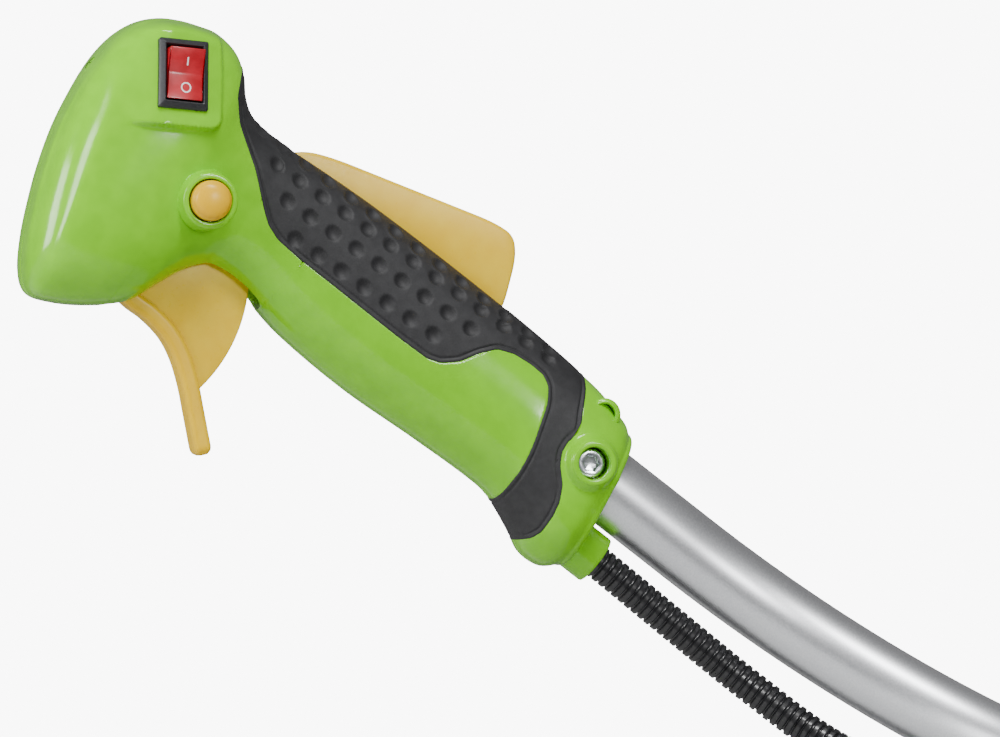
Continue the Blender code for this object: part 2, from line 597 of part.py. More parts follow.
def make_trigger():
    """Curved blade, web, hub on the pin and the arm that holds the cable's nipple."""
    web_outline = [*arc(TRIGGER_PIVOT, TRIGGER_EDGE_RADIUS, -8, 38, 8), *WEB_FRONT]
    trigger = plate("trigger", web_outline, -WEB_HALF, WEB_HALF, AMBER, pivot=TRIGGER_PIVOT)
    blade = plate("trigger_blade", BLADE_OUTLINE, -BLADE_HALF, BLADE_HALF, group=cutters)
    lean = math.radians(TRIGGER_TRAVEL / 2)
    anchor = TRIGGER_PIVOT + ANCHOR_RADIUS * Vector((math.sin(lean), 0.0, math.cos(lean)))
    up = (anchor - TRIGGER_PIVOT).normalized()
    across = Vector((up.z, 0.0, -up.x))
    corners = [TRIGGER_PIVOT + up * 8 - across * 4, TRIGGER_PIVOT + up * 8 + across * 4,
               anchor + up * 1 + across * 5, anchor + up * 5 + across * 2.5, anchor + up * 5 - across * 2.5,
               anchor + up * 1 - across * 5]
    arm = plate("trigger_arm", [(c.x, c.z) for c in corners], 2.6, 12.0, group=cutters)
    combine(trigger, "UNION", blade, arm,
            rod("trigger_hub", TRIGGER_PIVOT - Vector((0, 6, 0)), TRIGGER_PIVOT + Vector((0, 6, 0)), 6.0,
                group=cutters, sides=24))
    combine(trigger, "DIFFERENCE",
            rod("trigger_bore", TRIGGER_PIVOT - Vector((0, 20, 0)), TRIGGER_PIVOT + Vector((0, 20, 0)), 2.3,
                group=cutters, sides=18),
            rod("nipple_pocket", (anchor.x, 4.6, anchor.z), (anchor.x, 20, anchor.z), NIPPLE_POCKET_RADIUS,
                group=cutters),
            box("wire_slot", (anchor.x, 6.0, anchor.z + WIRE_SLOT_Z[0]), (anchor.x + 12, 10.0, anchor.z + WIRE_SLOT_Z[1])))
    rod("trigger_pin", TRIGGER_PIVOT - Vector((0, 13, 0)), TRIGGER_PIVOT + Vector((0, 13, 0)), 2.0, ZINC,
        sides=16)
    return anchor


def make_safety_lever():
    lever = plate("safety_lever", LEVER_OUTLINE, -LEVER_HALF, LEVER_HALF, AMBER, pivot=LEVER_PIVOT)
    soften(lever, 0.8, 2)
    combine(lever, "DIFFERENCE",
            rod("lever_bore", LEVER_PIVOT - Vector((0, 9, 0)), LEVER_PIVOT + Vector((0, 9, 0)), 2.3,
                group=cutters, sides=16),
            plate("lever_hollow", [(-112, 8), (-112, 20), (-90, 28.5), (-66, 35.5), (-57, 35), (-52, 24),
                                   (-50, 8)], -LEVER_HALF + 1.6, LEVER_HALF - 1.6, group=cutters))
    rod("safety_lever_pin", LEVER_PIVOT - Vector((0, 8.5, 0)), LEVER_PIVOT + Vector((0, 8.5, 0)), 2.0, ZINC,
        sides=16)


def coil(name, centre, axis, radius, wire_radius, length, turns, leg=0.0):
    """Coil spring along axis from centre; leg adds a straight, tangent end at both ends."""
    turn = turn_to(axis)
    count = round(turns * 12)
    angles = [2 * math.pi * i / 12 for i in range(count + 1)]
    route = [Vector((radius * math.cos(a), radius * math.sin(a), length * i / count))
             for i, a in enumerate(angles)]
    if leg:
        first, last = angles[0], angles[-1]
        route.insert(0, route[0] - leg * Vector((-math.sin(first), math.cos(first), 0.0)))
        route.append(route[-1] + leg * Vector((-math.sin(last), math.cos(last), 0.0)))
    return wire(name, [Vector(centre) + turn @ p for p in route], wire_radius, SPRING_STEEL, resolution=1)


def make_springs():
    coil("trigger_spring", TRIGGER_PIVOT + Vector((0, 6.9, 0)), (0, 1, 0), 3.3, 0.45, 1.5, 1.25, leg=5.5)
    coil("safety_lever_spring", (-82.0, 0.0, 4.0), (0, 0, 1), 2.4, 0.45, 17.0, 6)
    coil("button_spring", (BUTTON.x, -13.4, BUTTON.z), (0, -1, 0), 3.6, 0.45, 6.2, 4)


def make_button():
    """Dome-headed push button on a stem, with its guide washer and clip."""
    turned("lock_button",
           [(0.0, 22.3), (2.5, 22.3), (2.5, 11.0), (BUTTON_RADIUS, 11.0), (BUTTON_RADIUS, 4.8), (5.4, 2.6),
            (4.2, 1.1), (2.2, 0.25), (0.0, 0.0)],
           (BUTTON.x, -31.5, BUTTON.z), (0, 1, 0), AMBER, steps=24)
    for name, outer, inner, y_low, y_high, material in (
            ("button_guide", 7.0, 2.9, -12.7, -11.3, BLACK), ("button_clip", 4.4, 2.8, -10.9, -10.1, ZINC)):
        ring = rod(name, (BUTTON.x, y_low, BUTTON.z), (BUTTON.x, y_high, BUTTON.z), outer, material)
        combine(ring, "DIFFERENCE", rod(f"{name}_bore", (BUTTON.x, y_low - 1, BUTTON.z),
                                        (BUTTON.x, y_high + 1, BUTTON.z), inner, group=cutters, sides=16))


def bar_route(overrun=0.0):
    steps = 10
    route = [Vector((BAR_START - overrun, 0, 0)), Vector((0, 0, 0)), Vector((BAR_STRAIGHT, 0, 0))]
    route += [bar_frame(BEND_ANGLE * i / steps)[0] for i in range(1, steps + 1)]
    return [*route, BAR_END + TAIL_DIR * overrun]


def make_bar():
    """Bent tube, cross-drilled for the clamp screw."""
    bar = to_mesh(wire("handlebar_tube", bar_route(), BAR_RADIUS, SILVER, resolution=8))
    bore = to_mesh(wire("bar_inside", bar_route(5.0), BAR_RADIUS - BAR_WALL, group=cutters, resolution=8))
    combine(bar, "DIFFERENCE", bore, rod("bar_cross_hole", (CLAMP_X, -20, 0), (CLAMP_X, 20, 0), 2.9,
                                         group=cutters, sides=16))


def conduit_knots():
    held = [tail_point(along, CONDUIT_OFFSET) for along in (4.0, CLIP_AT, CONDUIT_END_AT)]
    return [Vector((CONDUIT_START, 0, CONDUIT_Z)), Vector((CABLE_BOSS_END, 0, CONDUIT_Z)),
            Vector((50, 0, -20.2)), Vector((80, -1.0, -20.8)), Vector((108, -9.0, -20.6)),
            Vector((138, -29.5, -15.6)), *held]


def circle(centre, radius, count):
    return [(centre[0] + radius * math.cos(2 * math.pi * i / count),
             centre[1] + radius * math.sin(2 * math.pi * i / count)) for i in range(count)]


def make_conduit_and_clip():
    wire("conduit", smooth_route(conduit_knots(), 9.0), CONDUIT_RADIUS, BLACK, resolution=3)
    outline = [(radius * math.cos(a), radius * math.sin(a)) for radius, a in
               ((BAR_RADIUS + 2.3, math.radians(t)) for t in range(-50, 231, 20))]
    low = -CONDUIT_OFFSET
    outline += [((CONDUIT_RADIUS + 2.3) * math.cos(a), low + (CONDUIT_RADIUS + 2.3) * math.sin(a))
                for a in (math.radians(t) for t in range(195, 346, 25))]
    clip = plate("conduit_clip", outline, -6.0, 6.0, BLACK,
                 holes=(circle((0, 0), BAR_RADIUS + GAP, 28), circle((0, low), CONDUIT_RADIUS + GAP, 16)))
    turn = Matrix((TAIL_SIDE, TAIL_DIR, -TAIL_DOWN)).transposed().to_4x4()
    flat = Matrix.Rotation(math.radians(90.0), 4, "X")
    clip.matrix_local = Matrix.Translation(tail_point(CLIP_AT) * MM) @ turn @ flat


def make_cable_end():
    """What leaves the conduit's far end: ferrule, adjuster, nut, wire with nipple, two leads."""
    start = tail_point(CONDUIT_END_AT, CONDUIT_OFFSET)
    end = start + TAIL_DIR * FERRULE_LENGTH
    turned("conduit_ferrule", [(0.0, FERRULE_LENGTH), (6.2, FERRULE_LENGTH), (6.2, 8.4), (5.8, 8.0),
                               (5.8, 0.0), (0.0, 0.0)], start + TAIL_DIR * GAP, TAIL_DIR, BLACK, steps=20)
    adjuster_start = end + TAIL_DIR * 2 * GAP
    adjuster_end = adjuster_start + TAIL_DIR * ADJUSTER_LENGTH
    adjuster = rod("cable_adjuster", adjuster_start, adjuster_end, 2.9, ZINC, sides=16)
    combine(adjuster, "DIFFERENCE", rod("adjuster_bore", adjuster_end - TAIL_DIR * 16.0,
                                        adjuster_end + TAIL_DIR, 1.2, group=cutters, sides=12))
    nut_at = adjuster_start + TAIL_DIR * 8.0
    nut = rod("adjuster_nut", nut_at, nut_at + TAIL_DIR * 3.0, 5.4, ZINC, sides=6)
    combine(nut, "DIFFERENCE", rod("adjuster_nut_bore", nut_at - TAIL_DIR, nut_at + TAIL_DIR * 4.0,
                                   2.9 + GAP, group=cutters, sides=16))
    tip = adjuster_end + TAIL_DIR * WIRE_TAIL_LENGTH
    rod("throttle_wire_end", adjuster_end - TAIL_DIR * 1.5, tip - TAIL_DIR * (2.4 + GAP), 0.75, SPRING_STEEL,
        sides=8)
    rod("carburettor_nipple", tip - TAIL_SIDE * 2.8, tip + TAIL_SIDE * 2.8, 2.4, ZINC, sides=14)
    for number, sign in ((1, -1.0), (2, 1.0)):
        knots = [end + TAIL_DIR * (2 * GAP + forward) + TAIL_SIDE * sign * aside + TAIL_DOWN * down
                 for forward, aside, down in LEAD_ROUTE]
        route = smooth_route(knots, 4.0)
        wire(f"switch_lead_{number}", route, 0.9, WIRE_RED if number == 1 else BLACK, resolution=2)
        direction = (knots[-1] - knots[-2]).normalized()
        turned(f"bullet_terminal_{number}", [(0.0, 14.0), (1.4, 14.0), (1.9, 13.0), (1.9, 7.4), (2.1, 7.0),
                                             (2.1, 0.0), (0.0, 0.0)],
               route[-1] + direction * GAP, direction, BRASS, steps=14)


def make_cable(anchor):
    """Throttle wire with its nipple, the hollow stop that ends its sheath, and the sheath."""
    y, z = CABLE_Y, CABLE_Z
    rod("cable_nipple", (anchor.x, 4.9, z), (anchor.x, 11.0, z), 2.3, ZINC, sides=14)
    rod("throttle_wire", (anchor.x + 2.3 + GAP, y, z), (STOP_X[1] - 2.4, y, z), 0.75, SPRING_STEEL, sides=8)
    stop = turned("cable_stop", [(0.0, 18.0), (3.4, 18.0), (3.4, 1.0), (2.4, 0.0), (0.0, 0.0)],
                  (STOP_X[0], y, z), (1, 0, 0), BLACK, steps=16)
    combine(stop, "DIFFERENCE", rod("cable_stop_bore", (STOP_X[0] - 1, y, z), (STOP_X[1] - 1.2, y, z), 1.2,
                                    group=cutters, sides=12))
    sheath = [(STOP_X[1] + GAP, y, z), (-74, y, -9.6), (-60, 6.6, -11.6), (-47, 3.0, -15.6),
              (-38, 0.4, -17.1), (-26, 0, CABLE_CHANNEL_Z), (CONDUIT_START - GAP, 0, CABLE_CHANNEL_Z)]
    wire("throttle_cable", smooth_route(sheath, 6.0), 2.2, BLACK, resolution=2)
    blade_end = SWITCH_CENTRE - SWITCH_NORMAL * 22.5
    for number, along in ((1, -5.0), (2, 3.5)):
        origin = blade_end + SWITCH_TURN @ Vector((0.0, along, 0.0))
        knots = [origin, origin - SWITCH_NORMAL * 2.5 + Vector((3.0, 0.0, -2.0)),
                 *(Vector(place) for place in INNER_LEADS[number - 1])]
        wire(f"inner_lead_{number}", smooth_route(knots, 8.0), 0.9, WIRE_RED if number == 1 else BLACK,
             resolution=1)


make_casing()
make_screws()
make_switch()
cable_anchor = make_trigger()
make_safety_lever()
make_springs()
make_button()
make_bar()
make_conduit_and_clip()
make_cable_end()
make_cable(cable_anchor)
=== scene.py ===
# %% [markdown]
# # A string trimmer's throttle handle
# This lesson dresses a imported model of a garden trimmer's right-hand control handle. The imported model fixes
# every place and size; here each visible piece is drawn again as a smooth surface worked out with numpy, and
# gets a material made from what the real one is. All lengths are in millimetres in the handle's own axes:
# x runs along the grip towards the bar, z is up (the safety lever's side), y is across.

# %% Load the frame
import json
import math

import bmesh
import bpy
import numpy as np
from mathutils import Matrix, Vector


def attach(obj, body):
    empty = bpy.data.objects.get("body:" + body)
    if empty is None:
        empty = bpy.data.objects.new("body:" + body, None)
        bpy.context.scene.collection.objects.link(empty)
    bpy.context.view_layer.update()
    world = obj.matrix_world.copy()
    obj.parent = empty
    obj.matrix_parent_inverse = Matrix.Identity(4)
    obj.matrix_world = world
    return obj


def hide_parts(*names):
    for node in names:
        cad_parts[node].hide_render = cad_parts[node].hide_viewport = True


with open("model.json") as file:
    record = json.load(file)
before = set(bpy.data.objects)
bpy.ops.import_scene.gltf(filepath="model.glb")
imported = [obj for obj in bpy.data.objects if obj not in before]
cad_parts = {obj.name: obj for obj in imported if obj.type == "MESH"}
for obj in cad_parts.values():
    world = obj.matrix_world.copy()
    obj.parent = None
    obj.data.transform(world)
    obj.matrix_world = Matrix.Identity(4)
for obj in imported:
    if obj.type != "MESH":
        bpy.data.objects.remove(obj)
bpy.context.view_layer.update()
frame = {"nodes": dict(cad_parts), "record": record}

MM = 0.001

# %% [markdown]
# The frame's origin is the clamped end of the bent bar, because that is what holds the handle. The bar is
# straight inside the grip, then follows one circular bend, then is straight again. Working that line out
# first gives the place of the handle's own origin, which every other piece is drawn from.

# %% The bar's line and the handle's axes
BAR_RADIUS, BAR_WALL = 11.0, 1.8
BAR_START, BAR_STRAIGHT, BAR_TAIL = -38.0, 40.0, 70.0
BEND_RADIUS, BEND_ANGLE, BEND_ROLL = 160.0, 50.0, 10.0
X_AXIS, Y_AXIS, Z_AXIS = np.eye(3)


def bar_frame(degrees):
    """Point and direction on the bend: a circle of BEND_RADIUS that starts along x at BAR_STRAIGHT."""
    angle, roll = np.radians(degrees), np.radians(BEND_ROLL)
    side = np.array((0.0, -np.cos(roll), np.sin(roll)))
    point = X_AXIS * (BAR_STRAIGHT + BEND_RADIUS * np.sin(angle)) + side * BEND_RADIUS * (1 - np.cos(angle))
    return point, X_AXIS * np.cos(angle) + side * np.sin(angle)


def unit(vector):
    """The same direction with length 1."""
    return np.asarray(vector, float) / np.linalg.norm(vector)


BEND_END, TAIL_DIR = bar_frame(BEND_ANGLE)
BAR_END = BEND_END + TAIL_DIR * BAR_TAIL
TAIL_DOWN = unit(-Z_AXIS + TAIL_DIR * TAIL_DIR[2])
TAIL_SIDE = np.cross(TAIL_DIR, TAIL_DOWN)


def placed(points):
    """Handle millimetres to frame metres."""
    return (np.asarray(points, float) - BAR_END) * MM


def tail_point(along, down=0.0, side=0.0):
    """Point beside the bar's last straight: along it, below its axis and to its side."""
    return BEND_END + TAIL_DIR * along + TAIL_DOWN * down + TAIL_SIDE * side


print("handle origin in the frame, m:", placed((0, 0, 0)).round(4))

# %% [markdown]
# The camera comes first, because it decides what is looked at. A long lens stands level and a little to the
# left of the grip, and is rolled so that the grip runs down to the right, as it hangs on a trimmer in use.

# %% Camera
CAMERA_DISTANCE = 5000.0
FIELD_WIDTH = 291.5
LOOK_AT = (-36.2, 0.0, 7.6)
TILT, TURN = np.radians(37.5), np.radians(12.0)

camera_data = bpy.data.cameras.new("camera")
camera_data.sensor_width = 36.0
camera_data.lens = camera_data.sensor_width * CAMERA_DISTANCE / FIELD_WIDTH
camera_data.clip_start, camera_data.clip_end = 0.05, 50.0
camera = bpy.data.objects.new("camera", camera_data)
bpy.context.scene.collection.objects.link(camera)
forward_flat = np.array((np.sin(TURN), np.cos(TURN), 0.0))
right_flat = np.array((np.cos(TURN), -np.sin(TURN), 0.0))


def tilted(vector):
    """Turn a direction of the level room into the handle's axes: a rotation about y by TILT."""
    x, y, z = vector
    return np.array((x * np.cos(TILT) - z * np.sin(TILT), y, x * np.sin(TILT) + z * np.cos(TILT)))


view_dir, view_right, view_up = tilted(forward_flat), tilted(right_flat), tilted(Z_AXIS)
camera.matrix_world = Matrix.Translation(placed(np.array(LOOK_AT) - view_dir * CAMERA_DISTANCE)) @ Matrix(
    np.column_stack((view_right, view_up, -view_dir)).tolist()).to_4x4()
bpy.context.scene.camera = camera
print("lens", round(camera_data.lens, 1), "mm")

# %% [markdown]
# Materials are node trees. One helper adds a node with its links, and one turns an sRGB hex colour to the
# linear numbers that a shader wants. Each finish below starts from the real stuff's name.

# %% Node helper and colour helper
def linear(hex_code):
    """sRGB hex to linear RGBA: the standard piecewise curve, channel by channel."""
    channels = np.array([int(hex_code[i:i + 2], 16) / 255 for i in (0, 2, 4)])
    low, high = channels / 12.92, ((channels + 0.055) / 1.055) ** 2.4
    return (*np.where(channels <= 0.04045, low, high).tolist(), 1.0)


def node(tree, kind, **inputs):
    """Add a node; each input is a value or another node's output."""
    made = tree.nodes.new(kind)
    for key, value in inputs.items():
        socket = made.inputs[key.replace("_", " ")]
        if isinstance(value, bpy.types.NodeSocket):
            tree.links.new(value, socket)
        else:
            socket.default_value = value
    return made


def new_material(name, **shader_values):
    """Principled material with plain socket values, its tree and its shader."""
    material = bpy.data.materials.new(name)
    material.use_nodes = True
    shader = material.node_tree.nodes["Principled BSDF"]
    for key, value in shader_values.items():
        shader.inputs[key.replace("_", " ")].default_value = value
    return material, material.node_tree, shader


def colour_between(tree, shader, factor, dark, light):
    """Base colour that runs from dark to light over the middle third of the factor."""
    ramp = node(tree, "ShaderNodeValToRGB", Fac=factor)
    for stop, place, colour in zip(ramp.color_ramp.elements, (0.35, 0.65), (dark, light)):
        stop.position, stop.color = place, linear(colour)
    tree.links.new(ramp.outputs["Color"], shader.inputs["Base Color"])


def grain(tree, size_mm, detail=2.0):
    """Noise with blotches of about size_mm, in Object coordinates."""
    place = node(tree, "ShaderNodeTexCoord").outputs["Object"]
    return node(tree, "ShaderNodeTexNoise", Vector=place, Scale=1000.0 / size_mm, Detail=detail,
                Roughness=0.5).outputs[0]


def bump_from(tree, shader, height, depth_mm, strength):
    """Tilt the shading by the slope of a height pattern that is depth_mm deep."""
    made = node(tree, "ShaderNodeBump", Strength=strength, Distance=depth_mm * MM, Height=height)
    tree.links.new(made.outputs["Normal"], shader.inputs["Normal"])


def roughness_between(tree, shader, factor, low, high):
    """Roughness that runs from low to high with the factor."""
    spread = node(tree, "ShaderNodeMapRange", Value=factor, To_Min=low, To_Max=high)
    tree.links.new(spread.outputs["Result"], shader.inputs["Roughness"])


print("mid grey 808080 is", round(linear("808080")[0], 3), "in linear light")

# %% [markdown]
# The shells are injection-moulded ABS with a polished mould: strong mirror-like highlights, a faint waviness
# a few millimetres wide, and colour that is the same all through. The grips are TPE rubber moulded over
# them, with a spark-eroded texture that scatters light. The yellow parts are natural-tinted acetal, which
# lets light in a little way, so they look cloudy.

# %% Plastics and rubber
def moulded_abs():
    """Glossy lime plastic with a faint waviness."""
    material, tree, shader = new_material("moulded_lime_abs", IOR=1.5, Specular_IOR_Level=0.4, Coat_Weight=0.15,
                                          Coat_Roughness=0.05)
    waves = grain(tree, 6.0, 1.0)
    colour_between(tree, shader, waves, "7ACC00", "80D400")
    roughness_between(tree, shader, grain(tree, 1.5), 0.12, 0.19)
    bump_from(tree, shader, waves, 0.02, 0.4)
    return material


def tpe_rubber():
    """Matt black rubber with a spark-eroded grain."""
    material, tree, shader = new_material("tpe_rubber", IOR=1.5, Specular_IOR_Level=0.45)
    # the spark-eroded grain is about 0.1 mm; it is drawn at 0.35 mm so that it shows
    pores = grain(tree, 0.35, 3.0)
    colour_between(tree, shader, grain(tree, 3.0), "222224", "2A2A2C")
    roughness_between(tree, shader, pores, 0.52, 0.72)
    bump_from(tree, shader, pores, 0.06, 0.6)
    return material


def tinted_acetal(name, dark, light, glow):
    """Cloudy yellow plastic; glow is how much light it lets in under its surface."""
    material, tree, shader = new_material(name, IOR=1.48, Specular_IOR_Level=0.3, Subsurface_Weight=glow,
                                          Subsurface_Scale=0.003)
    shader.inputs["Subsurface Radius"].default_value = (1.0, 0.7, 0.05)
    cloud = grain(tree, 9.0, 4.0)
    colour_between(tree, shader, cloud, dark, light)
    roughness_between(tree, shader, grain(tree, 1.2), 0.24, 0.34)
    bump_from(tree, shader, grain(tree, 0.8, 2.0), 0.02, 0.5)
    return material


def plain_moulding(name, dark, light, rough, grain_mm=0.6, coat=0.0, depth=0.03):
    """Any other moulded or extruded plastic, speckled by a fine grain."""
    material, tree, shader = new_material(name, IOR=1.5, Coat_Weight=coat, Coat_Roughness=0.1)
    speck = grain(tree, grain_mm, 2.0)
    colour_between(tree, shader, speck, dark, light)
    roughness_between(tree, shader, speck, rough - 0.06, rough + 0.06)
    bump_from(tree, shader, speck, depth, 0.5)
    return material


LIME = moulded_abs()
RUBBER = tpe_rubber()
AMBER = tinted_acetal("amber_acetal", "EDBE00", "F4C600", 0.02)
PALE_AMBER = tinted_acetal("thin_amber_acetal", "F0C410", "F6CE28", 0.03)
ORANGE = tinted_acetal("button_acetal", "EAB400", "F0BC00", 0.02)
RED = plain_moulding("red_polycarbonate", "A80818", "BC1424", 0.3, 4.0, 0.2, 0.01)
NYLON = plain_moulding("black_nylon", "26272A", "303134", 0.42)
CONDUIT_PLASTIC = plain_moulding("black_polyamide_conduit", "18181A", "222224", 0.3, 1.5, 0.3)
PVC_RED = plain_moulding("red_pvc_insulation", "8E1414", "A01C1C", 0.4)
PVC_BLACK = plain_moulding("black_pvc_insulation", "161617", "1E1E20", 0.4)
WHITE_PRINT = plain_moulding("white_pad_print", "E8E4E4", "F4F2F2", 0.45, 0.4)
print("plastics:", [material.name for material in bpy.data.materials])

# %% [markdown]
# Metals take their look from the finish. The bar is aluminium, satin blasted and anodised, with a soft wide
# highlight. Screws are zinc plated steel, which is bluish and a little cloudy. Springs and the inner wire
# are drawn steel, and the terminals are brass. Only colour, roughness and grain tell them apart.

# %% Metals
def metal(name, dark, light, rough_low, rough_high, size_mm, depth):
    """Bare or plated metal whose tone and roughness change together over a fine grain."""
    material, tree, shader = new_material(name, Metallic=1.0)
    tone = grain(tree, size_mm, 3.0)
    colour_between(tree, shader, tone, dark, light)
    roughness_between(tree, shader, tone, rough_low, rough_high)
    bump_from(tree, shader, tone, depth, 0.4)
    return material


ALUMINIUM = metal("satin_anodised_aluminium", "E2E4E8", "F0F1F4", 0.34, 0.42, 0.5, 0.012)
ZINC = metal("zinc_plated_steel", "C6CBD2", "E2E5EA", 0.16, 0.3, 1.2, 0.015)
STEEL = metal("drawn_spring_steel", "70747A", "8A8E94", 0.28, 0.4, 0.8, 0.01)
BRASS = metal("stamped_brass", "B08C48", "C8A45C", 0.25, 0.4, 0.8, 0.01)
SLOT_MATERIALS = {"lime_shell": LIME, "black_rubber": RUBBER, "amber_plastic": AMBER, "red_plastic": RED,
                  "black_plastic": NYLON, "satin_aluminium": ALUMINIUM, "zinc_steel": ZINC,
                  "spring_steel": STEEL, "terminal_brass": BRASS, "red_insulation": PVC_RED}
print(len(bpy.data.materials), "materials")

# %% [markdown]
# Every new piece below is one or more sheets: a grid of points plus its quads. This cell turns sheets into a
# finished object that rides on its body, stands for its CAD nodes and has outward faces.

# %% From grids to objects
def sheet_of(points, wrap_rows=False, wrap_columns=False):
    """Grid of points, shape (rows, columns, 3), to vertices and quads; wrap joins last to first."""
    rows, columns = points.shape[:2]
    index = np.arange(rows * columns).reshape(rows, columns)
    if wrap_rows:
        index = np.vstack((index, index[:1]))
    if wrap_columns:
        index = np.hstack((index, index[:, :1]))
    quads = np.stack((index[:-1, :-1], index[1:, :-1], index[1:, 1:], index[:-1, 1:]), axis=-1)
    return points.reshape(-1, 3), quads.reshape(-1, 4)


def closed_tube(rings):
    """Rings of points to a tube closed at both ends by a fan to each end ring's middle."""
    vertices, quads = sheet_of(rings, wrap_columns=True)
    columns = rings.shape[1]
    first, last = len(vertices), len(vertices) + 1
    vertices = np.vstack((vertices, rings[0].mean(axis=0), rings[-1].mean(axis=0)))
    ring = np.arange(columns)
    after = np.roll(ring, -1)
    end = (len(rings) - 1) * columns
    fans = [np.column_stack((np.full(columns, first), ring, after)),
            np.column_stack((np.full(columns, last), after + end, ring + end))]
    return vertices, [*quads.tolist(), *fans[0].tolist(), *fans[1].tolist()]


def make_piece(name, sheets, material, body="root", replaces=(), sharp=35.0):
    """Join sheets into one mesh in the frame's metres, merge doubles and point the faces out."""
    vertices, faces, start = [], [], 0
    for points, corners in sheets:
        vertices.append(placed(points))
        if isinstance(corners, np.ndarray):
            faces += (corners + start).tolist()
        else:
            faces += [[corner + start for corner in face] for face in corners]
        start += len(points)
    mesh = bpy.data.meshes.new(name)
    mesh.from_pydata(np.vstack(vertices), [], faces)
    work = bmesh.new()
    work.from_mesh(mesh)
    bmesh.ops.remove_doubles(work, verts=work.verts, dist=0.002 * MM)
    bmesh.ops.dissolve_degenerate(work, edges=work.edges, dist=0.001 * MM)
    bmesh.ops.recalc_face_normals(work, faces=work.faces)
    work.to_mesh(mesh)
    work.free()
    mesh.polygons.foreach_set("use_smooth", np.ones(len(mesh.polygons), bool))
    mesh.set_sharp_from_angle(angle=np.radians(sharp))
    piece = bpy.data.objects.new(name, mesh)
    bpy.context.scene.collection.objects.link(piece)
    mesh.materials.append(material)
    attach(piece, body)
    if replaces:
        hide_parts(*replaces)
    print(name, len(mesh.polygons), "faces")
    return piece


def lathe(profile, start, direction, steps=48, wobble=None):
    """Profile of (radius, distance) turned about an axis; wobble(angle, row) scales each radius."""
    direction = unit(direction)
    across = unit(np.cross(direction, Z_AXIS if abs(direction[2]) < 0.9 else X_AXIS))
    up = np.cross(direction, across)
    angles = np.linspace(0, 2 * np.pi, steps, endpoint=False)
    profile = np.array(profile, float)
    radius = profile[:, :1] * (1.0 if wobble is None else wobble(angles[None, :], profile[:, 1:]))
    ring = across * np.cos(angles)[:, None] + up * np.sin(angles)[:, None]
    points = np.asarray(start, float) + profile[:, 1, None, None] * direction + radius[..., None] * ring
    return sheet_of(points, wrap_columns=True)


def catmull_rom(a, b, c, d, t):
    """Smooth curve from b (t = 0) to c (t = 1), parallel to a-c at b and to b-d at c."""
    return 0.5 * (2 * b + (c - a) * t + (2 * a - 5 * b + 4 * c - d) * t * t + (3 * b - a - 3 * c + d) * t ** 3)


def smooth_line(points, step):
    """Catmull-Rom curve through the points, with a point about every step."""
    knots = np.array(points, float)
    knots = np.vstack((2 * knots[0] - knots[1], knots, 2 * knots[-1] - knots[-2]))
    runs = []
    for a, b, c, d in zip(knots, knots[1:], knots[2:], knots[3:]):
        t = np.arange(0, 1, 1 / max(1, round(np.linalg.norm(c - b) / step)))[:, None]
        runs.append(catmull_rom(a, b, c, d, t))
    return np.vstack((*runs, knots[-2:-1]))


def even_line(points, step):
    """The same line with its points spaced evenly, a whole number of steps."""
    lengths = np.concatenate(([0], np.cumsum(np.linalg.norm(np.diff(points, axis=0), axis=1))))
    count = max(2, round(lengths[-1] / step)) + 1
    at = np.linspace(0, lengths[-1], count)
    return np.column_stack([np.interp(at, lengths, points[:, k]) for k in range(3)]), at


def tube_rings(line, radii, sides):
    """Circles of the given radii, square to a line; measuring them from the z axis keeps them from turning."""
    tangent = np.gradient(line, axis=0)
    tangent /= np.linalg.norm(tangent, axis=1, keepdims=True)
    side = np.cross(tangent, Z_AXIS)
    side /= np.linalg.norm(side, axis=1, keepdims=True)
    up = np.cross(side, tangent)
    angles = np.linspace(0, 2 * np.pi, sides, endpoint=False)
    circle = side[:, None] * np.cos(angles)[None, :, None] + up[:, None] * np.sin(angles)[None, :, None]
    return line[:, None] + circle * np.asarray(radii, float).reshape(-1, 1, 1)


def smoothstep(low, high, value):
    """0 below low, 1 above high, 3t² - 2t³ between."""
    t = np.clip((value - low) / (high - low), 0, 1)
    return t * t * (3 - 2 * t)


print("a grid of 3 by 4 points has", len(sheet_of(np.zeros((3, 4, 3)))[1]), "quads")

# %% [markdown]
# The body is a loft. Ribs cross it from a point on its top line to a point on its bottom line, fanned at the
# head and square to the grip. Each rib's section is a superellipse, |c|ⁿ + |s|ⁿ = 1, whose exponent makes it
# rounder or boxier. A Catmull-Rom curve through the ribs gives any section between them.

